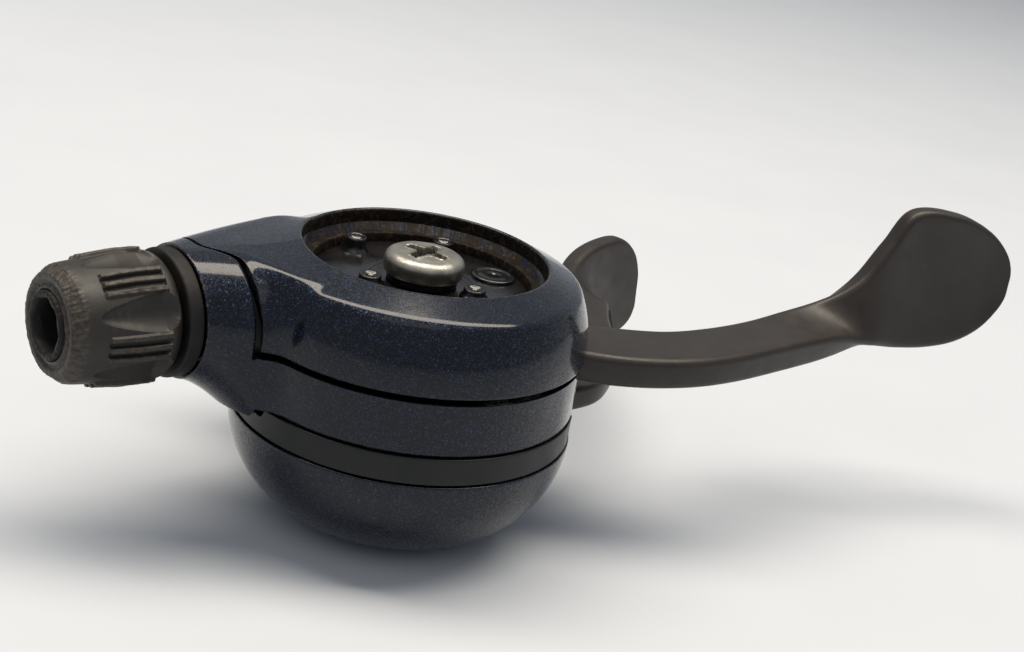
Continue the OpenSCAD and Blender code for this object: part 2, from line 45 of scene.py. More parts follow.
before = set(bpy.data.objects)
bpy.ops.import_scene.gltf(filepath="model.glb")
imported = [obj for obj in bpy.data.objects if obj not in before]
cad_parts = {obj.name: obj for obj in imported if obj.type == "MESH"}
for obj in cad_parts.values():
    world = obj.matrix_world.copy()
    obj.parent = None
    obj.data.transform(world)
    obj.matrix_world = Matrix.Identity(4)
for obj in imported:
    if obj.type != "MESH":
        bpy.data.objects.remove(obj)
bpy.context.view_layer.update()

MM = 0.001
RNG_SEED = 7
# Border points of neighbouring grids that lie closer than this become one point
MERGE_MM = 0.003
# Where both lamps point, in metres
LAMP_TARGET = np.array([0.0, 0.0, 0.02])


def node_box(node):
    """Lowest and highest corner of a CAD node, in millimetres."""
    low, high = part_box(node)
    return np.array(low) / MM, np.array(high) / MM


COVER_LOW, COVER_HIGH = node_box("upper_cover")
RING_LOW, RING_HIGH = node_box("lower_ring")
BOWL_HIGH = node_box("bottom_cover")[1]
HOUSING_HIGH = node_box("main_housing")[1]
GRIP_LOW, GRIP_HIGH = node_box("adjuster_grip")
STEM_LOW, STEM_HIGH = node_box("adjuster_stem")
COLLAR_LOW, COLLAR_HIGH = node_box("adjuster_collar")
SCREW_LOW, SCREW_HIGH = node_box("cover_screw")
ARM_LOW, ARM_HIGH = node_box("main_lever_plate")

RIM_Z = COVER_HIGH[2]
SEAM_Z = COVER_LOW[2]
FLOOR_Z = node_box("recess_plate")[1][2]
RING_Z = RING_LOW[2]
BOWL_Z = BOWL_HIGH[2]
BOWL_R = BOWL_HIGH[0]
MOUTH_X = COVER_LOW[0]
CABLE_Y = (GRIP_LOW[1] + GRIP_HIGH[1]) / 2
CABLE_Z = (GRIP_LOW[2] + GRIP_HIGH[2]) / 2


def length(name, about, value, low=0.0, high=200.0):
    """A size in millimetres that a user may change."""
    return bpy.props.FloatProperty(name=name, description=about, default=value, min=low, max=high)


def colour(name, about, value):
    """A colour written as an sRGB hex value."""
    return bpy.props.StringProperty(name=name, description=about, default=value, maxlen=7)


def angle(name, about, degrees):
    """An angle given in degrees and kept in radians."""
    return bpy.props.FloatProperty(name=name, description=about, default=np.radians(degrees), subtype="ANGLE")


class PodSizes(bpy.types.PropertyGroup):
    """Sizes of the painted pod, in millimetres."""

    skirt_r: length("Skirt radius", "Radius of the upper cover at its seam", COVER_HIGH[0], 10, 30)
    housing_r: length("Housing radius", "Radius of the middle housing", 17.95, 10, 30)
    flank_r: length("Flank radius", "Bulge of the cover's flank", 13.25, 5, 30)
    shoulder_r: length("Shoulder radius", "Radius of the crease round the top", 16.6, 8, 25)
    shoulder_drop: length("Shoulder drop", "Height of the rim above the crease", 1.7, 0.1, 5)
    recess_r: length("Recess radius", "Radius of the open recess", 12.8, 5, 20)
    ledge_w: length("Ledge width", "Width of the step in the recess", 1.4, 0.2, 4)
    top_seam: length("Top seam", "Open seam below the cover", 0.5, 0.1, 2)
    tongue_x: length("Tongue place", "Distance of the cover's front edge on the snout", 19.7, 10, 30)
    tongue_run: length("Tongue run", "Lead of the cover's edge on top of the snout", 2.6, 0, 4)
    tongue_gap: length("Tongue gap", "Open seam across the side of the snout", 0.3, 0.05, 1)
    tongue_top_gap: length("Top gap", "Fine seam over the top of the snout", 0.08, 0.02, 1)
    crease: length("Crease", "Rounding of the crease round the top", 0.35, 0.1, 3)
    blend: length("Blend", "Width of the fillet between the snout and the pod", 1.9, 0.2, 5)
    snout_r: length("Snout radius", "Radius of the snout at its mouth", 6.7, 4, 10)
    edge: length("Edge", "Rounding of the moulded edges", 0.13, 0.02, 1)
    wall: length("Wall", "Wall of the moulded covers", 1.5, 0.5, 3)


class LeverSizes(bpy.types.PropertyGroup):
    """Sizes of the two levers, in millimetres."""

    arm_t: length("Arm thickness", "Thickness of the thumb lever's arm", 3.5, 1, 6)
    paddle_t: length("Paddle thickness", "Thickness of the thumb pad", 2.6, 1, 5)
    release_t: length("Release thickness", "Thickness of the release lever's arm", 3.1, 1, 5)
    finger_t: length("Finger pad thickness", "Thickness of the finger pad", 2.5, 1, 5)
    soft_edge: length("Soft edge", "Rounding of the levers' edges", 0.9, 0.1, 2)
    dish: length("Dish", "Hollow of the thumb pad's face", 0.7, 0, 2)


class AdjusterSizes(bpy.types.PropertyGroup):
    """Sizes of the barrel adjuster, in millimetres."""

    grip_r_in: length("Inner radius", "Radius of the grip near the pod", 6.3, 4, 10)
    grip_r_out: length("Outer radius", "Radius of the grip at its outer end", 5.7, 4, 10)
    flute_depth: length("Flute depth", "Depth of a finger flute", 1.0, 0, 2)
    rib_h: length("Rib height", "Height of a rib on a pad", 0.34, 0, 1)
    rib_pitch: length("Rib pitch", "Distance between two ribs", 1.15, 0.2, 3)
    flutes: bpy.props.IntProperty(
        name="Flutes", description="Number of finger flutes", default=6, min=3, max=10)


class FinishColours(bpy.types.PropertyGroup):
    """Colours of the finishes, as sRGB hex values."""

    paint: colour("Paint", "Navy paint between the flakes", "#04070e")
    flake: colour("Flake", "Aluminium flake in the paint", "#2b3a58")
    ring: colour("Ring", "Satin black plastic", "#0c0f13")
    lever: colour("Lever", "Matte black plastic of the levers", "#1e1814")
    dust: colour("Dust", "Dry dust and rubbed plastic", "#5d5143")
    grip: colour("Grip", "Black rubber-like grip", "#1b1917")
    zinc: colour("Zinc", "Dull zinc plating", "#b2afa6")
    steel: colour("Steel", "Stamped steel", "#8e8e8c")
    oxide: colour("Oxide", "Black oxide on steel", "#2b2a2a")
    gloss: colour("Gloss", "Glossy black plastic in the recess", "#07090d")
    brass: colour("Brass", "Turned brass", "#b08a4a")
    floor: colour("Floor", "Pale floor", "#c1c6cd")


class StageSizes(bpy.types.PropertyGroup):
    """Lens, place and bearing of the camera."""

    lens: bpy.props.FloatProperty(name="Lens", description="Focal length", default=56.25, min=10, max=200)
    heading: angle("Heading", "Camera heading from +Y towards +X", 43.8)
    pitch: angle("Pitch", "How far the camera looks down", 20.8)
    roll: angle("Roll", "Tilt of the camera about its own axis", -10.6)
    place: bpy.props.FloatVectorProperty(
        name="Place", description="Camera place in metres", default=(-0.10074, -0.11963, 0.0826), size=3)


GROUPS = {"shifter_pod": PodSizes, "shifter_lever": LeverSizes, "shifter_adjuster": AdjusterSizes,
          "shifter_finish": FinishColours, "shifter_stage": StageSizes}


# Meshes from whole arrays

def make_object(name, verts, quads, tris=None, attributes=None):
    """A mesh object from vertices in millimetres and index arrays of quads and triangles, smooth shaded.

    The signed volume, a sum of triple products over a fan of each face, tells whether faces point inwards."""
    tris = np.zeros((0, 3), int) if tris is None else np.asarray(tris, int)
    fans = np.concatenate([quads[:, [0, 1, 2]], quads[:, [0, 2, 3]], tris])
    a, b, c = (verts[fans[:, i]] for i in range(3))
    if np.einsum("ij,ij->i", a, np.cross(b, c)).sum() < 0:
        quads, tris = quads[:, ::-1], tris[:, ::-1]
    mesh = bpy.data.meshes.new(name)
    mesh.vertices.add(len(verts))
    mesh.vertices.foreach_set("co", (verts * MM).astype(np.float32).ravel())
    corners = np.concatenate([quads.ravel(), tris.ravel()]).astype(np.int32)
    mesh.loops.add(len(corners))
    mesh.loops.foreach_set("vertex_index", corners)
    starts = np.concatenate([np.arange(len(quads)) * 4, len(quads) * 4 + np.arange(len(tris)) * 3])
    mesh.polygons.add(len(starts))
    mesh.polygons.foreach_set("loop_start", starts.astype(np.int32))
    mesh.polygons.foreach_set("use_smooth", np.ones(len(starts), bool))
    mesh.update(calc_edges=True)
    mesh.validate()
    for key, values in (attributes or {}).items():
        mesh.attributes.new(key, "FLOAT", "POINT").data.foreach_set("value", values.astype(np.float32))
    piece = bpy.data.objects.new(name, mesh)
    bpy.context.scene.collection.objects.link(piece)
    return piece


def polar(r, turn, z):
    """Points at radius r, angle turn and height z, spread to one common shape."""
    return np.stack(np.broadcast_arrays(r * np.cos(turn), r * np.sin(turn), z), -1)


def once_round(count):
    """Angles once round a circle, without the last one."""
    return np.linspace(0, 2 * np.pi, count, endpoint=False)


def grid_faces(rows, cols, wrap_rows, start=0):
    """Quads between neighbouring points of a grid whose columns run round, and whose rows may too."""
    i = np.arange(rows if wrap_rows else rows - 1)[:, None]
    j = np.arange(cols)[None, :]
    i2, j2 = (i + 1) % rows, (j + 1) % cols
    corners = [i * cols + j, i * cols + j2, i2 * cols + j2, i2 * cols + j]
    return np.stack(np.broadcast_arrays(*corners), -1).reshape(-1, 4) + start


def grid_object(name, points, wrap_rows=False, attributes=None):
    """A grid of points as one closed surface: where the rows don't run round, a fan closes each end."""
    rows, cols = points.shape[:2]
    verts, tris = points.reshape(-1, 3), None
    values = {k: v.reshape(-1) for k, v in (attributes or {}).items()}
    if not wrap_rows:
        verts = np.concatenate([verts, points[[0, -1]].mean(1)])
        values = {k: np.concatenate([v, [v[0], v[-1]]]) for k, v in values.items()}
        j = np.arange(cols)
        j2 = (j + 1) % cols
        top = (rows - 1) * cols
        tris = np.concatenate([np.stack([0 * j + rows * cols, j2, j], 1),
                               np.stack([0 * j + rows * cols + 1, top + j, top + j2], 1)])
    return make_object(name, verts, grid_faces(rows, cols, wrap_rows), tris, values)


def joined_object(name, grids):
    """One closed piece from grids of (points, point values) that share their border points."""
    verts = np.concatenate([points.reshape(-1, 3) for points, _ in grids])
    values = {k: np.concatenate([v[k].reshape(-1) for _, v in grids]) for k in grids[0][1]}
    starts = np.cumsum([0] + [points[..., 0].size for points, _ in grids])
    quads = [grid_faces(*points.shape[:2], False, start) for (points, _), start in zip(grids, starts)]
    piece = make_object(name, verts, np.concatenate(quads), None, values)
    body = bmesh.new()
    body.from_mesh(piece.data)
    bmesh.ops.remove_doubles(body, verts=body.verts, dist=MERGE_MM * MM)
    bmesh.ops.recalc_face_normals(body, faces=body.faces)
    body.to_mesh(piece.data)
    body.free()
    return piece


def turned(name, profile, steps=256, cable=False):
    """A closed profile of (radius, height) points turned once about Z, or about the cable line.

    Point = (r cos a, r sin a, h)."""
    profile = np.asarray(profile, float)
    points = polar(profile[:, :1], once_round(steps), profile[:, 1:])
    return grid_object(name, along_cable(points) if cable else points, True)


def arc_object(name, points):
    """A closed section carried along an open arc, with a fan over each end section."""
    return grid_object(name, np.swapaxes(points, 0, 1))


def along_cable(points):
    """Turns points about Z into points about the cable line: height runs along -X from the origin plane."""
    return np.stack([-points[..., 2], CABLE_Y - points[..., 0], CABLE_Z + points[..., 1]], -1)


def round_corners(profile, radii, steps=6):
    """A closed outline whose corner i is replaced by an arc of radius radii[i].

    The arc touches both edges at distance r / tan(half the corner's angle) from the corner, and its
    points are the blend of the two touching points turned about the arc's centre."""
    out = []
    count = len(profile)
    for i in range(count):
        p, before, after = (np.array(profile[k % count], float) for k in (i, i - 1, i + 1))
        radius = radii[i]
        if radius <= 0:
            out.append(p[None])
            continue
        u, v = before - p, after - p
        lu, lv = np.linalg.norm(u), np.linalg.norm(v)
        u, v = u / lu, v / lv
        half = np.arccos(np.clip(u @ v, -1, 1)) / 2
        reach = min(radius / np.tan(half), 0.49 * lu, 0.49 * lv)
        radius = reach * np.tan(half)
        centre = p + (u + v) / np.linalg.norm(u + v) * radius / np.sin(half)
        a, b = p + u * reach - centre, p + v * reach - centre
        t = np.linspace(0, 1, steps)[:, None]
        angle = np.pi - 2 * half
        out.append(centre + (np.sin((1 - t) * angle) * a + np.sin(t * angle) * b) / max(np.sin(angle), 1e-6))
    return np.concatenate(out)


def dense(profile, step):
    """The outline with extra points, so that no edge is longer than step."""
    closed = np.concatenate([profile, profile[:1]])
    parts = []
    for a, b in zip(closed[:-1], closed[1:]):
        n = max(1, int(np.ceil(np.linalg.norm(b - a) / step)))
        parts.append(a + (b - a) * np.linspace(0, 1, n, endpoint=False)[:, None])
    return np.concatenate(parts)


def smoothstep(x, low, high):
    """0 below low, 1 above high, and 3t^2 - 2t^3 between them."""
    t = np.clip((x - low) / (high - low), 0, 1)
    return t * t * (3 - 2 * t)


def plateau(x, start, top, fall, end):
    """0 before start, 1 from top to fall and 0 after end, with smooth slopes between."""
    return smoothstep(x, start, top) * (1 - smoothstep(x, fall, end))


def smooth_max(a, b, k):
    """The larger of a and b, with the crease between them rounded over a width k."""
    h = np.clip(0.5 + 0.5 * (a - b) / k, 0, 1)
    return b * (1 - h) + a * h + k * h * (1 - h)


def spline(points, t):
    """Catmull-Rom curve through the points, t from 0 to 1: every span is a cubic of its four points."""
    p = np.asarray(points, float)
    n = len(p) - 1
    u = np.clip(np.asarray(t, float), 0, 1) * n
    i = np.minimum(u.astype(int), n - 1)
    f = (u - i)[:, None]
    padded = np.concatenate([2 * p[:1] - p[1:2], p, 2 * p[-1:] - p[-2:-1]])
    a, b, c, d = (padded[i + k] for k in range(4))
    return 0.5 * (2 * b + (c - a) * f + (2 * a - 5 * b + 4 * c - d) * f**2 + (3 * b - a - 3 * c + d) * f**3)


def wave_noise(p, scale, seed, octaves=3):
    """Smooth random values from -1 to 1 at points p: a sum of sine waves along random directions."""
    rng = np.random.default_rng(seed)
    total = np.zeros(p.shape[:-1])
    for octave in range(octaves):
        for _ in range(5):
            direction = rng.normal(size=3)
            direction *= 2 * np.pi * 2**octave / (scale * np.linalg.norm(direction))
            total += np.sin(p @ direction + rng.uniform(0, 2 * np.pi)) * 0.5**octave
    return total / 6


# The pod's skin is the zero level of a distance-like field, found along rays from inside

PIVOT = np.array([0.0, 0.0, 22.0])
# Start, middle line, half width, top and drop of the snout's block at the pod, and its back face
ROOT_X, ROOT_Y, ROOT_R, ROOT_TOP, ROOT_DROP, BLOCK_BACK_X = 11.0, 5.0, 10.0, 29.4, 5.4, -7.0
# Slope of the block's top towards its near side, and radius of its lower corners
TOP_LEAN, LOW_CORNER = 0.22, 3.0


def snout_field(p, pod):
    """Rounded-rectangle tube whose section goes from a block at the pod to the round mouth.

    s and low run from 0 at the pod to 1 at the mouth. Each corner of the section has its own radius,
    and the distance is that of a rounded rectangle: |outside part| + inside part - corner radius."""
    s = np.clip((-p[..., 0] - ROOT_X) / (-MOUTH_X - ROOT_X), 0, 1)
    low = np.clip((-p[..., 0] - pod.housing_r) / (-MOUTH_X - pod.housing_r), 0, 1)
    top = ROOT_TOP + (CABLE_Z + pod.snout_r - ROOT_TOP) * s + 0.15 * np.sin(np.pi * s)
    foot = CABLE_Z - pod.snout_r - ROOT_DROP * (1 - low) ** 2
    middle_y = ROOT_Y + (CABLE_Y - ROOT_Y) * s
    half_y = ROOT_R + (pod.snout_r - ROOT_R) * s
    half_z = (top - foot) / 2
    far_corner = pod.snout_r * (0.3 + 0.7 * s)
    near_corner = pod.snout_r * (0.12 + 0.88 * smoothstep(s, 0.3, 0.64))
    corner = np.where(p[..., 1] > middle_y, far_corner, near_corner)
    low_corner = LOW_CORNER + (pod.snout_r - LOW_CORNER) * smoothstep(s, 0.5, 1)
    corner = np.where(p[..., 2] < (top + foot) / 2, low_corner, corner)
    qy = np.abs(p[..., 1] - middle_y) - (half_y - corner)
    sag = TOP_LEAN * (1 - s) * np.maximum(middle_y - p[..., 1], 0) * smoothstep(p[..., 2], 20, 26)
    qz = np.abs(p[..., 2] + sag - (top + foot) / 2) - (half_z - corner)
    outside = np.hypot(np.maximum(qy, 0), np.maximum(qz, 0))
    tube = outside + np.minimum(np.maximum(qy, qz), 0) - corner
    return smooth_max(tube, p[..., 0] - BLOCK_BACK_X, 3.0)


def cover_field(p, pod):
    """Upper skin: the bulging flank and the sloping top meet at the shoulder, and the snout blends in."""
    r = np.hypot(p[..., 0], p[..., 1])
    flank_z = SEAM_Z + 0.6
    flank = np.hypot(r - (pod.skirt_r - pod.flank_r), np.maximum(p[..., 2] - flank_z, 0)) - pod.flank_r
    run = pod.shoulder_r - pod.recess_r
    lean = np.hypot(run, pod.shoulder_drop)
    shoulder_z = RIM_Z - pod.shoulder_drop
    top = ((r - pod.shoulder_r) * pod.shoulder_drop + (p[..., 2] - shoulder_z) * run) / lean
    body = smooth_max(flank, top, pod.crease)
    return -smooth_max(-body, -snout_field(p, pod), pod.blend)


def housing_field(p, pod):
    """Lower skin: a straight drum with the same snout."""
    r = np.hypot(p[..., 0], p[..., 1])
    return -smooth_max(-(r - pod.housing_r), -snout_field(p, pod), pod.blend)


def skin_normal(field, p, pod):
    """Outward normal: the field's gradient by central differences, scaled to length 1."""
    h = 0.01
    g = np.stack([field(p + s, pod) - field(p - s, pod) for s in np.eye(3) * h], -1)
    return g / np.linalg.norm(g, axis=-1, keepdims=True)


def reach(field, pod, start, way, far=45.0):
    """Where rays leave the skin: each ray's span between inside and outside is halved again and again."""
    low, high = np.zeros(way.shape[:-1]), np.full(way.shape[:-1], far)
    for _ in range(30):
        middle = (low + high) / 2
        inside = field(start + way * middle[..., None], pod) < 0
        low, high = np.where(inside, middle, low), np.where(inside, high, middle)
    return start + way * high[..., None]


def pod_line(field, pod, turn, z):
    """The skin at angles about Z and given heights, found along level rays from the axis."""
    return reach(field, pod, polar(0.0, turn, z), polar(1.0, turn, 0.0))


def snout_line(field, pod, x, phi):
    """The skin of the snout at places x and angles phi about the cable line, counted from +Y towards +Z."""
    x, phi = x + 0 * phi, phi + 0 * x
    start = np.stack([x, CABLE_Y + 0 * x, CABLE_Z + 0 * x], -1)
    return reach(field, pod, start, np.stack([0 * phi, np.cos(phi), np.sin(phi)], -1), 15.0)


def bearings(points):
    """Angle about Z and angle of rise, as seen from the pivot, without jumps along a row."""
    away = points - PIVOT
    return (np.unwrap(np.arctan2(away[:, 1], away[:, 0])),
            np.arctan2(away[:, 2], np.hypot(away[:, 0], away[:, 1])))


def skin_rows(field, pod, first, last, rows):
    """Rows of skin between two closed lines: their bearings are blended and followed out to the skin."""
    turn_a, rise_a = bearings(first)
    turn_b, rise_b = bearings(last)
    turn_b = turn_b + 2 * np.pi * np.round((turn_a[0] - turn_b[0]) / (2 * np.pi))
    v = np.linspace(0, 1, rows)[1:-1, None]
    turn = turn_a + (turn_b - turn_a) * v
    rise = rise_a + (rise_b - rise_a) * v
    way = polar(np.cos(rise), turn, np.sin(rise))
    return np.concatenate([first[None], reach(field, pod, PIVOT, way), last[None]])


def smooth_loop(values, rounds):
    """Each direction round a closed row becomes the mean of itself and its two neighbours, a few times."""
    for _ in range(rounds):
        values = (values + np.roll(values, 1, 0) + np.roll(values, -1, 0)) / 3
    return values / np.linalg.norm(values, axis=-1, keepdims=True)


def lip_rows(field, pod, row, side, steps=5):
    """A rounded edge along a closed row, and the cut wall behind it down to the inner skin.

    Point = row + r (sin a * out + (cos a - 1) * normal), where out = side * tangent x normal."""
    normal = skin_normal(field, row, pod)
    tangent = np.roll(row, -1, 0) - np.roll(row, 1, 0)
    out = side * np.cross(tangent, normal)
    out = smooth_loop(out / np.linalg.norm(out, axis=-1, keepdims=True), 3)
    a = np.linspace(0, np.pi / 2, steps + 1)[:, None, None]
    rounded = row + pod.edge * (np.sin(a) * out + (np.cos(a) - 1) * normal)
    wall = row + pod.edge * out - np.array([0.4, 0.8, 0.95])[:, None, None] * pod.wall * normal
    return np.concatenate([rounded, wall, (row - pod.wall * normal)[None]])


def inner_rows(field, pod, rows):
    """The inner skin: every third outer row, moved in along the normal by the wall."""
    kept = rows[::3]
    return kept - pod.wall * skin_normal(field, kept, pod)


# Angles of the thumb lever's slot and its slopes, and the slot's room above and below the arm
LEVER_SLOT, SLOT_SLOPE, SLOT_ROOM = (-50.0, 23.0), 1.5, 1.4
# Angles where the housing hangs over the ring, and how far its edge runs forward under the snout
LIP_SPAN, UNDER_RUN = (148.0, 182.6), 2.3
# Rounding of the recess's rim
RIM_ROUND = 0.3
# The flange's reach in front of and behind the seam, and past its ends
FLANGE_FRONT, FLANGE_BACK, FLANGE_PAST = 2.0, 0.5, np.radians(10)
# Share of a lever's length where its rounded end starts
ROUND_END = 0.955


def slot_step(turn, height):
    """How far the thumb lever's slot lifts or lowers an edge at each angle, with short slopes."""
    start, end = LEVER_SLOT
    return height * plateau(np.degrees(turn), start, start + SLOT_SLOPE, end - SLOT_SLOPE, end)


def snout_lip(turn):
    """1 where the housing's lower edge hangs over the ring below the snout, with short slopes."""
    start, end = LIP_SPAN
    return plateau(np.degrees(turn) % 360, start - 6, start, end - 1.2, end + 1.2)


def over_top(phi):
    """1 on top of the snout, 0 on its sides, with a soft change between."""
    return plateau(np.degrees(phi) % 360, 25, 65, 88, 124)


def tongue_front(pod, phi, front_x):
    """Place of the seam across the snout: straight up both sides, and further forward over the top."""
    return front_x - pod.tongue_run * over_top(phi)


def seam_corners(field, pod, front_x, z):
    """Where a level seam meets the seam up the snout: angles about Z and about the cable, near and far."""
    start = np.array([[front_x, CABLE_Y, z]] * 2)
    corners = reach(field, pod, start, np.array([[0.0, -1, 0], [0.0, 1, 0]]), 15.0)
    turn = np.arctan2(corners[:, 1], corners[:, 0])
    phi = np.arctan2(corners[:, 2] - CABLE_Z, corners[:, 1] - CABLE_Y)
    return turn[0], turn[1], phi[0] % (2 * np.pi), phi[1]


def lean_turns(turn, near, far, lean, count):
    """Angles of the opposite border for a seam line's columns, which fan out at the snout's two sides."""
    spread = np.radians(75)
    shift = 1 - smoothstep(turn, near, near + spread) - smoothstep(turn, far - spread, far)
    across = np.linspace(far - lean, near + 2 * np.pi + lean, count, endpoint=False)
    return np.concatenate([turn + lean * shift, across])


# Columns of the level seam, of the seam across the snout, and of the strip under the snout
ARC_COLUMNS, SEAM_COLUMNS, UNDER_COLUMNS = 440, 180, 120


def marked(grids, **rows):
    """Grids with point values: for each name, 1 at the given indices of the listed grids and 0 elsewhere."""
    out = []
    for number, points in enumerate(grids):
        values = {name: np.zeros(points.shape[:2]) for name in rows}
        for name, places in rows.items():
            for index in places.get(number, ()):
                values[name][index] = 1
        out.append((points, values))
    return out


def cover_grids(pod):
    """The upper cover: outer skin, rounded lower edge, inner skin, and the stepped wall of the recess."""
    seam_z, front_x = SEAM_Z + pod.edge, -(pod.tongue_x - pod.edge)
    near, far, near_phi, far_phi = seam_corners(cover_field, pod, front_x, seam_z)
    turn = np.linspace(near, far, ARC_COLUMNS, endpoint=False)
    lift = slot_step(turn, ARM_HIGH[2] + SLOT_ROOM - SEAM_Z)
    phi = np.linspace(far_phi, near_phi, SEAM_COLUMNS, endpoint=False)
    loop = np.concatenate([pod_line(cover_field, pod, turn, seam_z + lift),
                           snout_line(cover_field, pod, tongue_front(pod, phi, front_x), phi)])
    rim_turn = lean_turns(turn, near, far, np.radians(17), SEAM_COLUMNS)
    start = polar(pod.recess_r + RIM_ROUND, rim_turn, PIVOT[2])
    rim = reach(cover_field, pod, start, polar(0.0, rim_turn, 1.0), 12.0)
    skin = skin_rows(cover_field, pod, loop, rim, 76)
    inside = inner_rows(cover_field, pod, skin)
    rim_z = rim[:, 2]
    wall_z, ledge_z, foot_r = rim_z - RIM_ROUND, FLOOR_Z + 1.0, pod.recess_r - pod.ledge_w
    arc = np.linspace(0.25, 1, 4) * np.pi / 2
    walls = [(pod.recess_r + RIM_ROUND * (1 - np.sin(t)), rim_z - RIM_ROUND * (1 - np.cos(t))) for t in arc]
    walls += [(pod.recess_r, wall_z + (ledge_z + 0.1 - wall_z) * t) for t in np.linspace(0, 1, 8)[1:]]
    walls += [(pod.recess_r - 0.12 - (pod.ledge_w - 0.3) * t, ledge_z) for t in (0, 0.33, 0.66, 1)]
    walls += [(foot_r + 0.05, ledge_z - 0.06)]
    walls += [(foot_r, ledge_z - 0.2 - 1.9 * t) for t in (0, 0.5, 1)]
    recess = np.stack([rim] + [polar(r, rim_turn, z) for r, z in walls] + [inside[-1]])
    return marked([skin, lip_rows(cover_field, pod, loop, -1), inside, recess],
                  bare={3: [np.s_[3:]]}, edge_wear={0: [0, -1], 1: [np.s_[:5]], 3: [np.s_[:4]]})


def housing_grids(pod):
    """The middle housing: its drum, the tube of the snout in front of the cover, and three rounded edges."""
    seam_z = SEAM_Z - pod.top_seam - pod.edge
    front_x = -(pod.tongue_x + pod.tongue_gap + pod.edge)
    near, far, near_phi, far_phi = seam_corners(housing_field, pod, front_x, seam_z)
    near_phi, far_end = near_phi - 2 * np.pi, far_phi - 2 * np.pi
    turn = np.linspace(near, far, ARC_COLUMNS, endpoint=False)
    drop = slot_step(turn, seam_z - ARM_LOW[2] + SLOT_ROOM)
    top_line = pod_line(housing_field, pod, turn, seam_z - drop)
    phi = np.concatenate([np.linspace(far_phi, near_phi, UNDER_COLUMNS, endpoint=False),
                          np.linspace(near_phi, far_end, SEAM_COLUMNS, endpoint=False)])
    back_x = tongue_front(pod, phi, front_x) + (pod.tongue_gap - pod.tongue_top_gap) * over_top(phi)
    t = np.linspace(0, 1, UNDER_COLUMNS)
    back_x[:UNDER_COLUMNS] = front_x - UNDER_RUN * plateau(t, 0.0, 0.3, 0.7, 1.0)
    p = np.linspace(0, 1, 22)[:, None]
    tube = snout_line(housing_field, pod, back_x * (1 - p) + (MOUTH_X + pod.edge) * p, phi[None, :])
    over = np.concatenate([tube[0, UNDER_COLUMNS:], tube[0, :1]])[::-1][:-1]
    edge_turn = lean_turns(turn, near, far, np.radians(5), UNDER_COLUMNS)
    foot_z = RING_HIGH[2] - 0.3 + pod.edge - snout_lip(edge_turn)
    foot = pod_line(housing_field, pod, edge_turn, foot_z)
    drum = skin_rows(housing_field, pod, foot, np.concatenate([top_line, tube[0, :UNDER_COLUMNS]]), 40)
    lips = [(foot, -1), (np.concatenate([top_line, over]), 1), (tube[-1], -1)]
    grids = [drum, tube, inner_rows(housing_field, pod, drum), inner_rows(housing_field, pod, tube)]
    grids += [lip_rows(housing_field, pod, line, side) for line, side in lips]
    lip_wear = {number: [np.s_[:5]] for number in (4, 5, 6)}
    return marked(grids, edge_wear={0: [0], 1: [-1, np.s_[:, UNDER_COLUMNS]], **lip_wear})


def flange_points(pod):
    """A thin black strip behind the seam across the snout: the snout's skin moved in by more than the wall.

    Point = skin(x, angle) - depth * normal, with (x, depth) going round a flat rectangle at each angle."""
    _, _, near_phi, far_phi = seam_corners(housing_field, pod, -pod.tongue_x, SEAM_Z)
    phi = np.linspace(far_phi - FLANGE_PAST, near_phi + FLANGE_PAST, 160)
    across = np.linspace(-FLANGE_FRONT, FLANGE_BACK, 9)
    shift = np.concatenate([across, across[::-1]])
    depth = pod.wall + np.repeat([0.05, 0.55], 9)
    x = tongue_front(pod, phi, -pod.tongue_x)[None, :] + shift[:, None]
    skin = snout_line(housing_field, pod, x, phi[None, :])
    return skin - depth[:, None, None] * skin_normal(housing_field, skin, pod)


def boss_points():
    """Bar-mount boss: a rounded rectangle carried along +Y, closed by a face with the insert's bore.

    Outline = sign(c) |c|^power times the half sizes, where c is a circle; a station is (y, share of the
    outline against the bore, scale)."""
    low, high = RING_LOW[2] + 0.1, SEAM_Z - 0.75
    half_x, half_z, bore_r, power = 6.5, (high - low) / 2, 3.4, 0.32
    t = once_round(128)
    circle = np.stack([np.cos(t), np.sin(t)], 1)
    outline = np.sign(circle) * np.abs(circle) ** power * [half_x, half_z]
    end = HOUSING_HIGH[1]
    stations = [(16.6, 1, 0.97), (19.5, 1, 1), (end - 0.6, 1, 1), (end - 0.25, 1, 0.985),
                (end - 0.06, 1, 0.955), (end, 1, 0.92), (end, 0.5, 0.92), (end, 0, 0.92),
                (end - 0.1, 0, 0.9), (end - 6, 0, 0.9)]
    y, share, scale = np.array(stations, float).T[..., None, None]
    flat = outline * scale * share + circle * bore_r * (1 - share)
    return np.stack(np.broadcast_arrays(flat[..., 0], y[..., 0], flat[..., 1] + (low + high) / 2), -1)


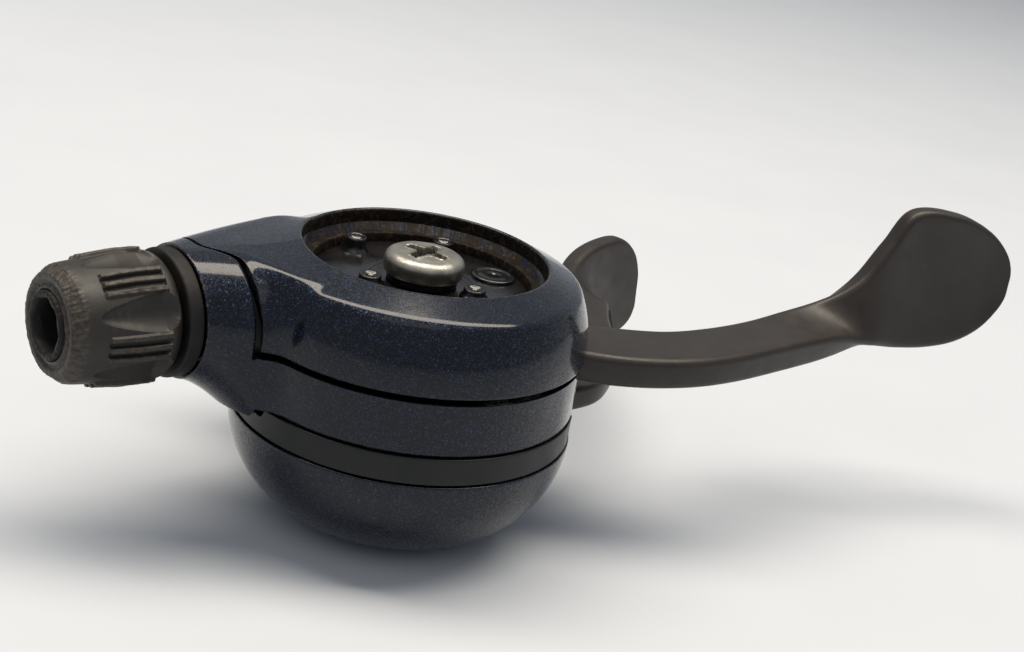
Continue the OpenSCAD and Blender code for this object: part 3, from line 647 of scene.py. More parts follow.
def ribbon_points(near, far, thickness, corner, dish, steps=200, side=14, turn=7):
    """A lever as a flat bar between two edge lines: section = rounded rectangle across from near to far.

    At each place along the lever, point = middle + across * a + normal * b, where (a, b) runs round a
    rectangle with arcs at its corners; the section shrinks over the last stretch as a quarter ellipse."""
    s = 1 - (1 - np.linspace(0, 1, steps)) ** 1.35
    low, high = spline(near, s), spline(far, s)
    middle, across = (low + high) / 2, high - low
    half_w = np.linalg.norm(across, axis=1) / 2
    across = across / (2 * half_w[:, None] + 1e-9)
    normal = np.cross(np.gradient(middle, axis=0), across)
    normal /= np.linalg.norm(normal, axis=1)[:, None] + 1e-12
    end = np.clip((s - ROUND_END) / (1 - ROUND_END), 0, 1)
    half_t = thickness(s) / 2 * np.sqrt(np.maximum(1 - end**2, 0.004))
    r = np.minimum(corner, half_t * 0.98)
    half_w, half_t, r = half_w[:, None], half_t[:, None], r[:, None]
    quarter = np.linspace(0, np.pi / 2, turn)
    flat = np.linspace(-1, 1, side + 2)[1:-1]
    parts = []
    for k, (sa, sb) in enumerate([(1, 1), (-1, 1), (-1, -1), (1, -1)]):
        angle = quarter + k * np.pi / 2
        parts.append((sa * (half_w - r) + r * np.cos(angle), sb * (half_t - r) + r * np.sin(angle)))
        if k in (0, 2):
            parts.append((-sa * (half_w - r) * flat, sb * half_t + 0 * flat))
    a, b = (np.concatenate(rows, 1) for rows in zip(*parts))
    b = b - dish(s)[:, None] * (1 - (a / np.maximum(half_w, 1e-6)) ** 2)
    return middle[:, None] + across[:, None] * a[..., None] + normal[:, None] * b[..., None]


# Edge lines of the thumb lever: the arm lies flat, then its far edge swings up and becomes the pad's top
THUMB_NEAR = [
    (11.8, -12.4, 20.4), (15.4, -15.3, 20.4), (19.8, -17.5, 20.4), (25, -18.9, 20.4), (31, -19.2, 20.3),
    (38, -18.9, 20.3), (45, -18.4, 20.2), (51, -18.0, 20.0), (56, -17.9, 19.6), (60, -18.2, 19.1),
    (64.4, -19.2, 19.0), (68.4, -20.6, 19.8), (71.4, -21.7, 21.6), (73.2, -22.4, 24.2), (73.9, -22.7, 26.9),
]
THUMB_FAR = [
    (15.4, -5.6, 20.4), (17.4, -5.7, 20.4), (21.4, -8.2, 20.4), (26.6, -10.6, 20.4), (32.4, -11.4, 20.4),
    (38.6, -11.5, 20.5), (44.6, -11.3, 21.0), (50.2, -12.3, 22.9), (54.0, -14.9, 27.2), (56.5, -16.2, 32.0),
    (58.9, -17.2, 36.2), (64.6, -19.3, 36.2), (69.4, -21.0, 34.4), (72.6, -22.2, 31.6), (73.9, -22.7, 28.4),
]

# Edge lines of the release lever, below and behind the thumb lever
RELEASE_NEAR = [
    (16.9, -8.0, 13.5), (22.4, -7.3, 13.5), (28, -3.6, 13.5), (33, 1.6, 13.5), (38, 8.0, 13.4),
    (42.0, 12.6, 12.9), (46.2, 18.4, 8.8), (49.6, 21.8, 5.6), (53.4, 23.7, 3.9), (56.8, 24.6, 3.7),
    (59.2, 25.0, 5.0), (60.1, 25.1, 8.0),
]
RELEASE_FAR = [
    (16.9, -2.2, 13.5), (20.6, -1.2, 13.5), (25, 1.6, 13.5), (29, 5.6, 13.5), (33.6, 11.8, 13.6),
    (37.6, 17.0, 14.4), (41.6, 20.8, 15.9), (45.6, 22.8, 17.4), (50.0, 23.9, 18.2), (54.2, 24.5, 18.1),
    (57.6, 24.9, 15.8), (59.8, 25.1, 11.0),
]


def grip_points(sizes):
    """The grip: radius as a function of the angle round the cable line and the distance from its inner end.

    radius = barrel - depth of the tear-drop flutes + height of the ribs between them; the rim is worn."""
    length_mm, start = GRIP_HIGH[0] - GRIP_LOW[0], -GRIP_HIGH[0]
    phi = once_round(720)[None, :]
    entry, entry_round, exit_run = 1.3, 1.25, 1.1
    outer_edge = length_mm - exit_run
    a = np.concatenate([np.sin(np.linspace(0, np.pi / 2, 9))[:-1] * entry, np.linspace(entry, outer_edge, 90),
                        outer_edge + np.linspace(0, 1, 14)[1:] * exit_run])[:, None]
    r_in, r_out = sizes.grip_r_in, sizes.grip_r_out
    barrel = np.interp(a, [entry, 4.4, outer_edge, length_mm],
                       [r_in, r_in - 0.02, r_out + 0.02, r_out - 0.75])
    barrel = barrel - entry_round * (1 - np.sqrt(np.clip(1 - np.clip(1 - a / entry, 0, 1) ** 2, 0, 1)))
    period = 2 * np.pi / sizes.flutes
    flute_at = np.radians(25)
    from_flute = phi - flute_at
    across = ((from_flute + period / 2) % period - period / 2) * r_in
    tip, half_w = 8.4, 2.15
    half = half_w * np.sqrt(np.clip((tip - a) / (tip - 1.2), 0, 1)) * np.sqrt(np.clip((a - 0.5) / 1.4, 0, 1))
    inside = np.clip(1 - (across / np.maximum(half, 1e-3)) ** 2, 0, 1)
    flute = sizes.flute_depth * (half / half_w) * inside**0.75
    pad_mm = (from_flute % period - period / 2) * r_in
    ribs = np.zeros_like(pad_mm + a)
    for offset in (-1, 0, 1):
        ribs = np.maximum(ribs, 1 - smoothstep(np.abs(pad_mm - offset * sizes.rib_pitch * 0.93), 0.20, 0.34))
    span = plateau(a, 1.35, 1.5, 7.5, 7.7)
    groove = (1 - smoothstep(np.abs(pad_mm), 1.15, 1.3)) * span
    ribs = ribs * span
    spots = np.roll(polar(6.0, phi, a), 1, -1)
    ragged = wave_noise(spots, 0.7, RNG_SEED) * 0.05 + wave_noise(spots, 2.4, RNG_SEED + 1) * 0.03
    rim = smoothstep(a, length_mm - 2.0, length_mm - 0.6)
    worn = wave_noise(spots, 0.9, RNG_SEED + 2) * 0.13 * rim - 0.08 * rim
    r = barrel - flute + sizes.rib_h * ribs - 0.22 * groove * (1 - ribs) + ragged * ribs + worn
    bore = 3.42
    face_r = r[-1] + (bore - r[-1]) * np.linspace(0, 1, 12)[1:, None]
    hollow = 0.32 * np.exp(-((face_r - 4.0) / 0.22) ** 2)
    chips = 0.10 * wave_noise(polar(face_r, phi, 0.0), 1.1, RNG_SEED + 3)
    end = start + length_mm
    rows = [polar(r, phi, start + a), polar(face_r, phi, end - hollow + np.minimum(chips, 0))]
    rows += [polar(radius, phi, z) for radius, z in [(bore, end - 1.5), (bore, start + 0.2), (4.9, start)]]
    points = np.concatenate(rows)
    wear = np.zeros(points.shape[:2])
    wear[:len(r)] = np.clip(0.75 * ribs + 0.9 * rim, 0, 1)
    wear[len(r):len(r) + len(face_r)] = 0.9
    return along_cable(points), wear


def stem_points():
    """The thin tube in the grip: a turned profile whose bore near the mouth is a soft eight-sided shape."""
    phi = once_round(256)[None, :]
    tip, back = -STEM_LOW[0], -STEM_HIGH[0]
    profile = np.array([(0.9, back), (2.9, back), (2.9, tip - 12), (3.33, tip - 9), (3.33, tip - 0.25),
                        (3.2, tip - 0.05), (3.05, tip), (2.75, tip - 0.08), (2.62, tip - 0.35),
                        (2.55, tip - 1.2), (2.5, tip - 3), (2.4, tip - 8), (0.9, tip - 8.6), (0.9, back)])
    r, h = profile[:, :1], profile[:, 1:]
    mouth = smoothstep(h, tip - 3, tip - 0.3) * (r < 2.9)
    facet = 1 + 0.035 * mouth * np.cos(8 * phi)
    chipped = wave_noise(polar(6.0, phi, h + r), 1.2, RNG_SEED + 5)
    chipped = 0.05 * chipped * smoothstep(h, tip - 0.6, tip - 0.1)
    return along_cable(polar(r * facet + chipped, phi, h + chipped))


def screw_points():
    """The pan head: height over a polar grid = pan profile minus a cross-shaped recess with ragged edges."""
    head_r, top = SCREW_HIGH[0], SCREW_HIGH[2]
    base, shank_r, cross_turn = top - 2.5, 1.95, np.radians(20)
    phi = once_round(360)[None, :]
    outer = 0.8 + 0.2 * np.sin(np.linspace(0, np.pi / 2, 26)[1:])
    r = head_r * np.concatenate([np.linspace(0.004, 0.8, 84), outer])[:, None]
    edge = np.clip((r / head_r - 0.78) / 0.22, 0, 1)
    drop = 0.3 * (r / head_r) ** 2 + 0.85 * (1 - np.sqrt(np.clip(1 - edge**2, 0, 1)))
    spots = polar(r, phi - cross_turn, 0.0)
    x, y = np.abs(spots[..., 0]), np.abs(spots[..., 1])
    chew = 0.2 * wave_noise(spots, 0.9, RNG_SEED + 8)
    arm = np.minimum(x, y) + 0.16 * np.maximum(x, y) + chew
    far = np.maximum(x, y) + chew
    slot = (1 - smoothstep(arm, 0.62, 0.86)) * (1 - smoothstep(far, 2.1, 2.5))
    depth = slot * (1.35 - 0.28 * far)
    burr = 0.09 * np.exp(-((arm - 0.95) / 0.16) ** 2) * (1 - smoothstep(far, 2.2, 2.7))
    dents = 0.035 * wave_noise(spots + [0, 0, 3], 1.6, RNG_SEED + 9)
    dome = polar(r, phi, np.minimum(top - drop - depth + burr * (1 + chew * 4) + dents, top))
    under = [(head_r, dome[-1, :, 2].min() - 0.25), (head_r - 0.05, base + 0.35),
             (head_r - 0.22, base + 0.08), (head_r - 0.5, base), (2.0, base), (shank_r, base - 0.4),
             (shank_r, SCREW_LOW[2] + 0.4), (1.6, SCREW_LOW[2])]
    points = np.concatenate([dome] + [polar(q, phi, h) for q, h in under])
    grime = np.full(points.shape[:2], 0.35)
    grime[:len(dome)] = np.clip(slot + 0.3 * (burr > 0.03), 0, 1)
    return points, grime


# Materials

def linear(code):
    """sRGB hex text as linear RGBA: ((c + 0.055) / 1.055)^2.4 above the dark straight part."""
    c = np.array([int(code[i:i + 2], 16) for i in (1, 3, 5)]) / 255
    return (*np.where(c > 0.04045, ((c + 0.055) / 1.055) ** 2.4, c / 12.92), 1.0)


def add_node(tree, kind, inputs=(), out=0, stops=(), **settings):
    """Adds one shader node with its settings, inputs and colour stops, and gives back one of its outputs.

    Inputs come in socket order or by key; each is a socket to link, a hex colour or a plain value.
    Each stop is a place with a grey or a hex colour."""
    node = tree.nodes.new("ShaderNode" + kind)
    for key, value in settings.items():
        setattr(node, key, value)
    inputs = inputs if isinstance(inputs, dict) else dict(enumerate(inputs))
    for key, value in inputs.items():
        if isinstance(value, bpy.types.NodeSocket):
            tree.links.new(value, node.inputs[key])
        else:
            node.inputs[key].default_value = linear(value) if isinstance(value, str) else value
    if stops:
        for _ in stops[2:]:
            node.color_ramp.elements.new(0.5)
        for element, (place, shade) in zip(node.color_ramp.elements, stops):
            element.position = place
            element.color = linear(shade) if isinstance(shade, str) else (shade, shade, shade, 1)
    return node.outputs[out] if node.outputs else node


def new_material(name, layers, *values):
    """A node material: layers adds the texture nodes and gives the inputs of its Principled shader."""
    made = bpy.data.materials.new(name)
    made.use_nodes = True
    tree = made.node_tree
    tree.nodes.clear()
    place = add_node(tree, "TexCoord", out="Object")
    shader = add_node(tree, "BsdfPrincipled", layers(tree, place, *values))
    add_node(tree, "OutputMaterial", {"Surface": shader})
    return made


# Settings of a Mix node for colours, whose inputs 0, 6 and 7 are the mask, the base and the colour on top
COLOURS = {"out": 2, "data_type": "RGBA"}


def per_mm(size):
    """Texture scale for a feature of that size in millimetres, on coordinates in metres."""
    return 1 / (size * MM)


def grain(tree, place, size, stops=(), detail=3.0, rough=0.55, distortion=0.0, bump=()):
    """Fractal noise whose largest feature is that size in millimetres, read through stops or as a relief.

    bump is the strength and the height of the relief in metres."""
    noise = add_node(tree, "TexNoise", {"Vector": place, "Scale": per_mm(size), "Detail": detail,
                                        "Roughness": rough, "Distortion": distortion}, "Fac")
    if bump:
        return add_node(tree, "Bump", {"Height": noise, "Strength": bump[0], "Distance": bump[1]})
    return add_node(tree, "ValToRGB", [noise], stops=stops)


def scratches(tree, place, size, turn, thin=0.04):
    """Sparse hairline scratches: thin bands of a stretched noise, kept only where a coarse noise is high."""
    mapped = add_node(tree, "Mapping", {"Vector": place, "Rotation": turn, "Scale": (1, 0.07, 0.3)})
    band = grain(tree, mapped, size, [(0.5 - thin, 0.0), (0.5, 1.0), (0.5 + thin, 0.0)], 2.0, 0.5, 0.6)
    where = grain(tree, place, 9.0, [(0.6, 0.0), (0.68, 1.0)], 2.0)
    return add_node(tree, "Math", [band, where], operation="MULTIPLY")


def largest(tree, *masks):
    """The largest of several masks, each given with its strength."""
    scaled = [add_node(tree, "Math", mask, operation="MULTIPLY") for mask in masks]
    total = scaled[0]
    for other in scaled[1:]:
        total = add_node(tree, "Math", [total, other], operation="MAXIMUM")
    return total


def flake_paint(tree, place, paint, flake, dust):
    """Metallic flake paint under clear lacquer, sprayed on a moulded shell: navy with fine bright specks.

    The real flakes are about 0.05 mm; they are drawn 0.11 mm wide so that the render shows them."""
    cells = add_node(tree, "TexVoronoi", {"Vector": place, "Scale": per_mm(0.11)}, "Color")
    red = add_node(tree, "SeparateColor", [cells])
    specks = add_node(tree, "ValToRGB", [red], stops=[(0.0, 0.0), (0.6, 0.05), (0.88, 0.25), (0.97, 0.8)])
    base = add_node(tree, "Mix", {0: specks, 6: paint, 7: flake}, **COLOURS)
    edge_wear = add_node(tree, "Attribute", out="Fac", attribute_name="edge_wear")
    bare = add_node(tree, "Attribute", out="Fac", attribute_name="bare")
    worn = largest(tree, (edge_wear, grain(tree, place, 0.5, [(0.5, 0.0), (0.66, 1.0)], 4.0, 0.7)))
    marks = largest(tree, (scratches(tree, place, 1.1, (0.3, 0.2, 0.6), 0.012), 0.25),
                    (grain(tree, place, 0.45, [(0.735, 0.0), (0.76, 1.0)], 2.0, 0.5), 0.5), (worn, 0.7))
    brown = grain(tree, place, 0.9, [(0.3, "#090807"), (0.52, "#17120f"), (0.72, "#40342a")], 5.0, 0.75, 0.6)
    base = add_node(tree, "Mix", {0: marks, 6: base, 7: dust}, **COLOURS)
    base = add_node(tree, "Mix", {0: bare, 6: base, 7: brown}, **COLOURS)
    lean = add_node(tree, "VectorMath", [cells, (0.5, 0.5, 0.5)], operation="SUBTRACT")
    lean = add_node(tree, "VectorMath", {0: lean, "Scale": 0.5}, operation="SCALE")
    normal = add_node(tree, "NewGeometry", out="Normal")
    tilted = add_node(tree, "VectorMath", [normal, lean], operation="ADD")
    unpainted = add_node(tree, "Math", [marks, bare], operation="MAXIMUM")
    painted = add_node(tree, "Math", [1.0, unpainted], operation="SUBTRACT")
    rough = grain(tree, place, 5.0, [(0.3, 0.36), (0.7, 0.46)])
    return {"Base Color": base,
            "Metallic": add_node(tree, "Math", [painted, 0.5], operation="MULTIPLY"),
            "Roughness": add_node(tree, "Mix", {0: unpainted, 6: rough, 7: (0.62, 0.62, 0.62, 1)}, **COLOURS),
            "Normal": add_node(tree, "VectorMath", [tilted], operation="NORMALIZE"),
            "Coat Weight": add_node(tree, "Math", [1.0, largest(tree, (marks, 0.8), (bare, 1.0))],
                                    operation="SUBTRACT"),
            "Coat Normal": grain(tree, place, 1.1, detail=2.0, bump=(0.1, 0.00003)),
            "Coat Roughness": 0.11, "Coat IOR": 1.33, "Specular IOR Level": 0.1}


def moulded_plastic(tree, place, base, dust, rough, grit, dusty, gloss=0.5, wear=None):
    """Moulded plastic: an even colour with fine spark-eroded grain, scuffs and dry dust in patches."""
    cloud = grain(tree, place, 4.0, [(0.3, 0.8), (0.7, 1.15)], 4.0, 0.6)
    masks = [(grain(tree, place, 6.0, [(0.38, 0.0), (0.75, 1.0)], 5.0, 0.65), dusty),
             (grain(tree, place, 0.35, [(0.7, 0.0), (0.76, 1.0)], 3.0, 0.6), min(1.0, dusty * 1.6)),
             (scratches(tree, place, 0.9, (0.2, 0.5, 0.3)), min(1.0, dusty * 1.8))]
    if wear:
        masks.append((add_node(tree, "Attribute", out="Fac", attribute_name=wear),
                      grain(tree, place, 0.5, [(0.38, 0.0), (0.7, 0.6)], 4.0, 0.7)))
    base = add_node(tree, "Mix", {0: 1.0, 6: base, 7: cloud}, blend_type="MULTIPLY", **COLOURS)
    base = add_node(tree, "Mix", {0: largest(tree, *masks), 6: base, 7: dust}, **COLOURS)
    return {"Base Color": base, "Specular IOR Level": gloss,
            "Roughness": grain(tree, place, 2.0, [(0.3, rough - 0.06), (0.7, rough + 0.08)], 4.0, 0.6),
            "Normal": grain(tree, place, grit, detail=4.0, rough=0.7, bump=(0.35, 0.00004))}


def plated_metal(tree, place, base, dull, rough, grime=None):
    """Plated or bare metal: patchy dull film, small pits, fine tool marks, and grime where it gathers."""
    film = grain(tree, place, 1.6, [(0.35, 0.0), (0.68, 1.0)], 5.0, 0.7)
    base = add_node(tree, "Mix", {0: film, 6: base, 7: dull}, **COLOURS)
    pits = grain(tree, place, 0.28, [(0.62, 0.0), (0.7, 1.0)], 3.0, 0.6)
    base = add_node(tree, "Mix", {0: largest(tree, (pits, 0.55)), 6: base, 7: "#2e2a24"}, **COLOURS)
    if grime:
        gathered = add_node(tree, "Attribute", out="Fac", attribute_name=grime)
        base = add_node(tree, "Mix", {0: largest(tree, (gathered, 0.8)), 6: base, 7: "#2b241b"}, **COLOURS)
    return {"Base Color": base, "Metallic": 1.0,
            "Roughness": grain(tree, place, 0.8, [(0.3, rough - 0.08), (0.7, rough + 0.12)], 4.0, 0.65),
            "Normal": grain(tree, place, 0.4, detail=5.0, rough=0.7, bump=(0.3, 0.00005))}


def matte_board(tree, place, base, other):
    """Painted board: two near greys in wide soft clouds, no shine."""
    clouds = grain(tree, place, 30.0, [(0.0, 0.0), (1.0, 1.0)])
    return {"Base Color": add_node(tree, "Mix", {0: clouds, 6: base, 7: other}, **COLOURS),
            "Roughness": 0.6, "Specular IOR Level": 0.3}


# Each look is a name, its layers, its colours (keys of FinishColours or hex values) and its other values
LOOKS = {
    # Sprayed flake paint: near black, with blue specks and a sharp highlight in the lacquer
    "painted_shell": ("navy_flake_paint", flake_paint, ("paint", "flake", "dust"), ()),
    # ABS moulded in a satin tool: black with a soft, wide highlight
    "black_shell": ("satin_abs", moulded_plastic, ("ring", "dust"), (0.36, 0.3, 0.03, 0.3)),
    # Glass-filled nylon from a sparked tool: brownish black, dull and slightly dusty
    "lever_skin": ("matte_nylon", moulded_plastic, ("lever", "dust"), (0.44, 0.25, 0.07, 0.45)),
    # Elastomer moulded over the barrel: matte, with its ribs and rim rubbed pale
    "grip_skin": ("matte_elastomer", moulded_plastic, ("grip", "dust"), (0.5, 0.2, 0.08, 0.45, "wear")),
    # ABS with dry dust settled on it: the highlight is nearly gone
    "dusty_black": ("dusty_abs", moulded_plastic, ("gloss", "dust"), (0.6, 0.25, 0.12, 0.3)),
    # Barrel zinc plate gone dull: light grey with pits, grime in the driver's recess
    "zinc_steel": ("dull_zinc_plate", plated_metal, ("zinc", "#85827a"), (0.4, "grime")),
    # Steel stamped from sheet: mid grey and fairly bright
    "plate_steel": ("stamped_steel", plated_metal, ("steel", "#767572"), (0.34,)),
    # Steel with a black oxide bath: dark grey, oily and half dull
    "dark_steel": ("black_oxide_steel", plated_metal, ("oxide", "#1c1b1b"), (0.42,)),
    # ABS from a polished tool: black with sharp highlights
    "dark_plastic": ("gloss_abs", moulded_plastic, ("gloss", "dust"), (0.2, 0.6, 0.08, 0.6)),
    # Brass turned on a lathe: yellow with a browner film
    "brass": ("turned_brass", plated_metal, ("brass", "#8a6b38"), (0.32,)),
    # Painted board: pale and even
    "floor": ("pale_floor", matte_board, ("floor", "#babfc7"), ()),
}
MATERIALS = {}


def material(key):
    """The named look, made once from the finish colours."""
    if key not in MATERIALS:
        finish = bpy.context.scene.shifter_finish
        name, layers, colours, numbers = LOOKS[key]
        MATERIALS[key] = new_material(name, layers, *[getattr(finish, c, c) for c in colours], *numbers)
    return MATERIALS[key]


def place_piece(piece, slot, node=None, look=None, body="root"):
    """Gives a piece one material slot holding the look's material, or the slot's own look when no look is
    given, hangs it on its body, and hides the CAD node that it stands for.
    """
    piece.data.materials.append(material(look or slot))
    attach(piece, body)
    if node:
        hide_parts(node)


# Operators

class SHIFTER_OT_upper_cover(bpy.types.Operator):
    """Build the painted upper cover with its tongue and recess"""

    bl_idname = "shifter.upper_cover"
    bl_label = "Upper Cover"

    def execute(self, context):
        cover = joined_object("painted_upper_cover", cover_grids(context.scene.shifter_pod))
        place_piece(cover, "painted_shell", "upper_cover")
        return {"FINISHED"}


class SHIFTER_OT_main_housing(bpy.types.Operator):
    """Build the painted middle housing with its snout and bar-mount boss"""

    bl_idname = "shifter.main_housing"
    bl_label = "Main Housing"

    def execute(self, context):
        pod = context.scene.shifter_pod
        housing = joined_object("painted_main_housing", housing_grids(pod))
        place_piece(housing, "painted_shell", "main_housing")
        place_piece(grid_object("painted_mount_boss", boss_points()), "painted_shell")
        place_piece(arc_object("black_seam_flange", flange_points(pod)), "black_shell")
        return {"FINISHED"}


class SHIFTER_OT_ring_and_bowl(bpy.types.Operator):
    """Build the satin ring and the painted bowl under it"""

    bl_idname = "shifter.ring_and_bowl"
    bl_label = "Ring and Bowl"

    def execute(self, context):
        pod = context.scene.shifter_pod
        place_piece(arc_object("satin_lower_ring", ring_points(pod)), "black_shell", "lower_ring")
        place_piece(turned("painted_bowl", bowl_profile(pod), 360), "painted_shell", "bottom_cover")
        return {"FINISHED"}


def ring_points(pod):
    """The ring's section carried from 10 to 314 degrees: open at the levers, and lower below the snout."""
    outer_r, inner_r, top_z = pod.housing_r + 0.15, pod.housing_r - pod.wall, RING_HIGH[2] - 0.45
    outline = [(15.2, RING_Z), (outer_r, RING_Z), (outer_r, top_z), (inner_r, top_z),
               (inner_r, top_z + 0.45), (15.2, top_z + 0.45)]
    profile = dense(round_corners(outline, [0.1, pod.edge, pod.edge, 0, 0.1, 0.1]), 0.4)
    turn = np.radians(np.linspace(10, 314, 361))
    points = polar(profile[:, :1], turn, profile[:, 1:])
    points[..., 2] -= snout_lip(turn) * smoothstep(points[..., 2], RING_Z + 1.4, top_z)
    return points


def bowl_profile(pod):
    """Half section of the bowl: a quarter round into the flat foot, a counterbore, and the wall inside."""
    rounding, edge = 12.05, pod.edge
    centre, inner_r, wall_r = BOWL_R - rounding, rounding - pod.wall, BOWL_R - pod.wall
    a = np.radians(np.linspace(0, 90, 60))
    outer = np.stack([centre + rounding * np.cos(a), np.maximum(BOWL_Z - rounding * np.sin(a), 0)], 1)
    outer = outer[outer[:, 1] < BOWL_Z - edge * 1.1]
    t = np.radians([80, 60, 40, 20])
    lip = [(wall_r, BOWL_Z - 0.6), (wall_r, BOWL_Z - 0.05), (BOWL_R - edge * 1.2, BOWL_Z)]
    lip += zip(BOWL_R - edge * (1 - np.cos(t)), BOWL_Z - edge + edge * np.sin(t))
    foot = [(7.0, 0), (4.6, 0), (3.42, 0), (3.3, 0.1), (3.3, 2.3), (1.6, 2.4), (1.6, 8), (4.4, 8), (4.4, 2.2)]
    b = np.radians(np.linspace(90, 4, 30))
    inner = np.stack([centre + inner_r * np.cos(b), BOWL_Z - inner_r * np.sin(b)], 1)
    return np.concatenate([lip, outer, foot, inner])


class SHIFTER_OT_recess(bpy.types.Operator):
    """Build the floor, pegs and pad in the recess"""

    bl_idname = "shifter.recess"
    bl_label = "Recess"

    def execute(self, context):
        pod = context.scene.shifter_pod
        floor_r, low, sunk = pod.recess_r - pod.ledge_w - 0.05, FLOOR_Z - 1.2, FLOOR_Z - 0.18
        outline = [(2.2, low), (floor_r, low), (floor_r, FLOOR_Z), (5.6, FLOOR_Z), (5.4, sunk), (2.2, sunk)]
        profile = dense(round_corners(outline, [0, 0.05, 0.12, 0.1, 0.1, 0]), 0.5)
        place_piece(turned("recess_floor", profile), "dark_plastic", "recess_plate")
        pegs = make_object("gloss_recess_pegs", *peg_mesh())
        place_piece(pegs, "dark_steel", "recess_pegs", "dark_plastic")
        outline = [(0.02, 0.3), (1.5, 0.3), (1.62, 0.22), (1.75, 0.22), (1.87, 0.34), (2.2, 0.35),
                   (2.36, 0.28), (2.4, 0.1), (2.45, -0.2), (0.02, -0.2)]
        pad = turned("flat_round_pad", outline, 96)
        pad.data.transform(Matrix.Translation(polar(8.6, np.radians(-10), FLOOR_Z) * MM))
        place_piece(pad, "black_shell", "recess_pad", "dark_plastic")
        return {"FINISHED"}


def peg_mesh():
    """Vertices and quads of the four pegs: one turned outline of (share of radius, share of height)."""
    outline = np.array([(0.02, 0.72), (0.62, 0.7), (0.74, 0.9), (0.84, 1.0), (0.95, 0.97), (1.0, 0.82),
                        (1.02, 0.4), (1.15, 0.1), (1.3, 0.0), (1.3, -0.3), (0.02, -0.3)])
    verts, quads = [], []
    for turn, away, height in [(102, 9.6, 1.6), (170, 6, 0.8), (40, 9.8, 1.4), (-63, 6, 0.8)]:
        z = FLOOR_Z + outline[:, 1:] * np.where(outline[:, 1:] > 0, height, 1)
        rows = polar(1.15 * outline[:, :1], once_round(96), z) + polar(away, np.radians(turn), 0.0)
        quads.append(grid_faces(*rows.shape[:2], True, len(verts) * rows[..., 0].size))
        verts.append(rows.reshape(-1, 3))
    return np.concatenate(verts), np.concatenate(quads)


class SHIFTER_OT_cover_screw(bpy.types.Operator):
    """Build the zinc-plated pan head screw with its chewed cross recess"""

    bl_idname = "shifter.cover_screw"
    bl_label = "Cover Screw"

    def execute(self, context):
        points, grime = screw_points()
        screw = grid_object("zinc_pan_screw", points, False, {"grime": grime})
        place_piece(screw, "zinc_steel", "cover_screw")
        return {"FINISHED"}


class SHIFTER_OT_thumb_lever(bpy.types.Operator):
    """Build the moulded thumb lever as a bar that twists up into its pad"""

    bl_idname = "shifter.thumb_lever"
    bl_label = "Thumb Lever"

    def execute(self, context):
        lever = context.scene.shifter_lever
        points = ribbon_points(
            THUMB_NEAR, THUMB_FAR,
            lambda s: lever.arm_t + (lever.paddle_t - lever.arm_t) * smoothstep(s, 0.45, 0.72),
            lever.soft_edge, lambda s: lever.dish * plateau(s, 0.55, 0.75, 0.85, 1.0))
        piece = grid_object("moulded_thumb_lever", points)
        place_piece(piece, "lever_skin", "main_lever_cover", body="main_lever")
        return {"FINISHED"}


class SHIFTER_OT_release_lever(bpy.types.Operator):
    """Build the moulded release lever as a bar that turns up into its finger pad"""

    bl_idname = "shifter.release_lever"
    bl_label = "Release Lever"

    def execute(self, context):
        lever = context.scene.shifter_lever
        points = ribbon_points(
            RELEASE_NEAR, RELEASE_FAR,
            lambda s: lever.release_t + (lever.finger_t - lever.release_t) * smoothstep(s, 0.5, 0.8),
            lever.soft_edge, lambda s: 0 * s)
        piece = grid_object("moulded_release_lever", points)
        place_piece(piece, "lever_skin", "release_lever_cover", body="release_lever")
        return {"FINISHED"}


class SHIFTER_OT_adjuster(bpy.types.Operator):
    """Build the ribbed grip, its tube and the black collar"""

    bl_idname = "shifter.adjuster"
    bl_label = "Barrel Adjuster"

    def execute(self, context):
        points, wear = grip_points(context.scene.shifter_adjuster)
        grip = grid_object("ribbed_grip", points, True, {"wear": wear})
        place_piece(grip, "grip_skin", "adjuster_grip", body="adjuster")
        tube = grid_object("adjuster_tube", stem_points(), True)
        place_piece(tube, "dark_steel", "adjuster_stem", "dusty_black", "adjuster")
        start, end, radius = -COLLAR_HIGH[0], -COLLAR_LOW[0], context.scene.shifter_pod.snout_r - 0.3
        outline = [(2.95, start), (4.1, start), (4.1, end - 1.6), (radius, end - 1.6),
                   (radius, end), (2.95, end)]
        profile = dense(round_corners(outline, [0, 0.1, 0, 0.2, 0.3, 0]), 0.5)
        collar = turned("black_collar", profile, 200, True)
        place_piece(collar, "black_shell", "adjuster_collar", "dusty_black")
        return {"FINISHED"}


WORKS_LOOKS = {
    "dark_steel": ("main_lever_plate", "release_lever_plate", "bottom_screw", "screw_washer", "cable_drum",
                   "drum_spring", "drive_pawl", "holding_pawl"),
    "plate_steel": ("pivot_axle", "axle_nut", "base_plate", "index_wheel", "main_lever_spring",
                    "drive_pawl_pin", "holding_pawl_pin", "holding_pawl_spring", "drive_pawl_spring",
                    "release_pin", "release_lever_spring", "housing_screws"),
    "brass": ("adjuster_detent", "mount_insert"),
}


class SHIFTER_OT_works(bpy.types.Operator):
    """Give the steel and brass works inside the pod their finishes"""

    bl_idname = "shifter.works"
    bl_label = "Works"

    def execute(self, context):
        for look, names in WORKS_LOOKS.items():
            for name in names:
                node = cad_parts[name]
                node.data.materials.clear()
                node.data.materials.append(material(look))
        return {"FINISHED"}


class SHIFTER_OT_stage(bpy.types.Operator):
    """Build the pale floor, the soft lamps and the camera"""

    bl_idname = "shifter.stage"
    bl_label = "Stage"

    def execute(self, context):
        corners = 3000.0 * np.array([(-1, -1, 0), (1, -1, 0), (1, 1, 0), (-1, 1, 0)])
        floor = make_object("floor", corners, np.array([[0, 1, 2, 3]]))
        floor.data.materials.append(material("floor"))
        add_lamps(context.scene)
        add_camera(context.scene, context.scene.shifter_stage)
        context.scene.view_settings.view_transform = "Standard"
        return {"FINISHED"}


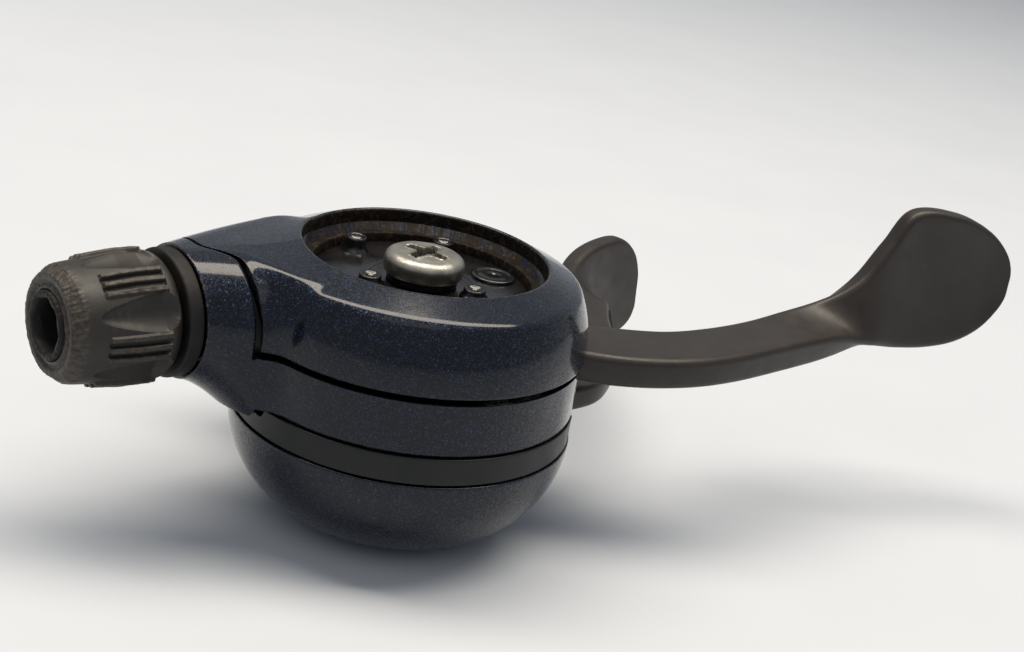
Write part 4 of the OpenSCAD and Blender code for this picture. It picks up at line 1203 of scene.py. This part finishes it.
def add_lamps(scene):
    """A long soft box above, a weak one in front, and an even pale surround."""
    world = scene.world = bpy.data.worlds.new("surround")
    world.use_nodes = True
    world.node_tree.nodes.clear()
    sky = add_node(world.node_tree, "Background", {"Color": (0.88, 0.93, 1.0, 1), "Strength": 0.4})
    add_node(world.node_tree, "OutputWorld", {"Surface": sky})
    lamps = [("window_softbox", (0.055, 0.06, 0.60), 1.00, 0.22, 6.5, (1.0, 0.90, 0.76)),
             ("front_softbox", (-0.42, -0.44, 0.80), 0.80, 0.60, 0.9, (1.0, 0.92, 0.82))]
    for name, place, wide, high, power, tint in lamps:
        data = bpy.data.lights.new(name, "AREA")
        data.shape = "ELLIPSE"
        data.size, data.size_y = wide, high
        data.energy, data.color = power, tint
        lamp = bpy.data.objects.new(name, data)
        scene.collection.objects.link(lamp)
        lamp.matrix_world = look_matrix(place, LAMP_TARGET - place, (0, 0, 1))


def look_matrix(place, forward, up):
    """Matrix of an object at place whose -Z looks along forward, with its Y nearest to up."""
    f = np.asarray(forward, float) / np.linalg.norm(forward)
    right = np.cross(f, up)
    right /= np.linalg.norm(right)
    rows = np.eye(4)
    rows[:3] = np.stack([right, np.cross(right, f), -f, place], 1)
    return Matrix(rows.tolist())


def add_camera(scene, setup):
    """Camera from its heading, pitch and roll: right and down vectors are turned about the line of sight."""
    heading, pitch, roll = setup.heading, setup.pitch, setup.roll
    forward = np.array([np.sin(heading) * np.cos(pitch), np.cos(heading) * np.cos(pitch), -np.sin(pitch)])
    level = np.array([np.cos(heading), -np.sin(heading), 0.0])
    down = -np.sin(roll) * level + np.cos(roll) * np.cross(forward, level)
    data = bpy.data.cameras.new("camera")
    data.lens, data.sensor_width = setup.lens, 36.0
    data.clip_start, data.clip_end = 0.005, 20.0
    camera = bpy.data.objects.new("camera", data)
    scene.collection.objects.link(camera)
    camera.matrix_world = look_matrix(setup.place, forward, -down)
    scene.camera = camera


class SHIFTER_PT_panel(bpy.types.Panel):
    """Lists the sizes, the finishes and the steps that build the shifter"""

    bl_idname = "SHIFTER_PT_panel"
    bl_label = "Trigger Shifter"
    bl_space_type = "VIEW_3D"
    bl_region_type = "UI"
    bl_category = "Shifter"

    def draw(self, context):
        for step in STEPS:
            self.layout.operator(step.bl_idname)
        for group, kind in GROUPS.items():
            box = self.layout.box()
            for name in kind.__annotations__:
                box.prop(getattr(context.scene, group), name)


STEPS = (SHIFTER_OT_stage, SHIFTER_OT_upper_cover, SHIFTER_OT_main_housing, SHIFTER_OT_ring_and_bowl,
         SHIFTER_OT_recess, SHIFTER_OT_cover_screw, SHIFTER_OT_thumb_lever, SHIFTER_OT_release_lever,
         SHIFTER_OT_adjuster, SHIFTER_OT_works)


def register():
    """Registers the property groups, operators and panel, and hangs the groups on the scene."""
    for group, kind in GROUPS.items():
        bpy.utils.register_class(kind)
        setattr(bpy.types.Scene, group, bpy.props.PointerProperty(type=kind))
    for step in STEPS:
        bpy.utils.register_class(step)
    bpy.utils.register_class(SHIFTER_PT_panel)


def unregister():
    """Takes back what register added, in the opposite order."""
    bpy.utils.unregister_class(SHIFTER_PT_panel)
    for step in reversed(STEPS):
        bpy.utils.unregister_class(step)
    for group, kind in reversed(GROUPS.items()):
        delattr(bpy.types.Scene, group)
        bpy.utils.unregister_class(kind)


def main():
    """Registers the add-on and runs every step."""
    register()
    for step in STEPS:
        area, name = step.bl_idname.split(".")
        getattr(getattr(bpy.ops, area), name)()


if __name__ == "__main__":
    main()
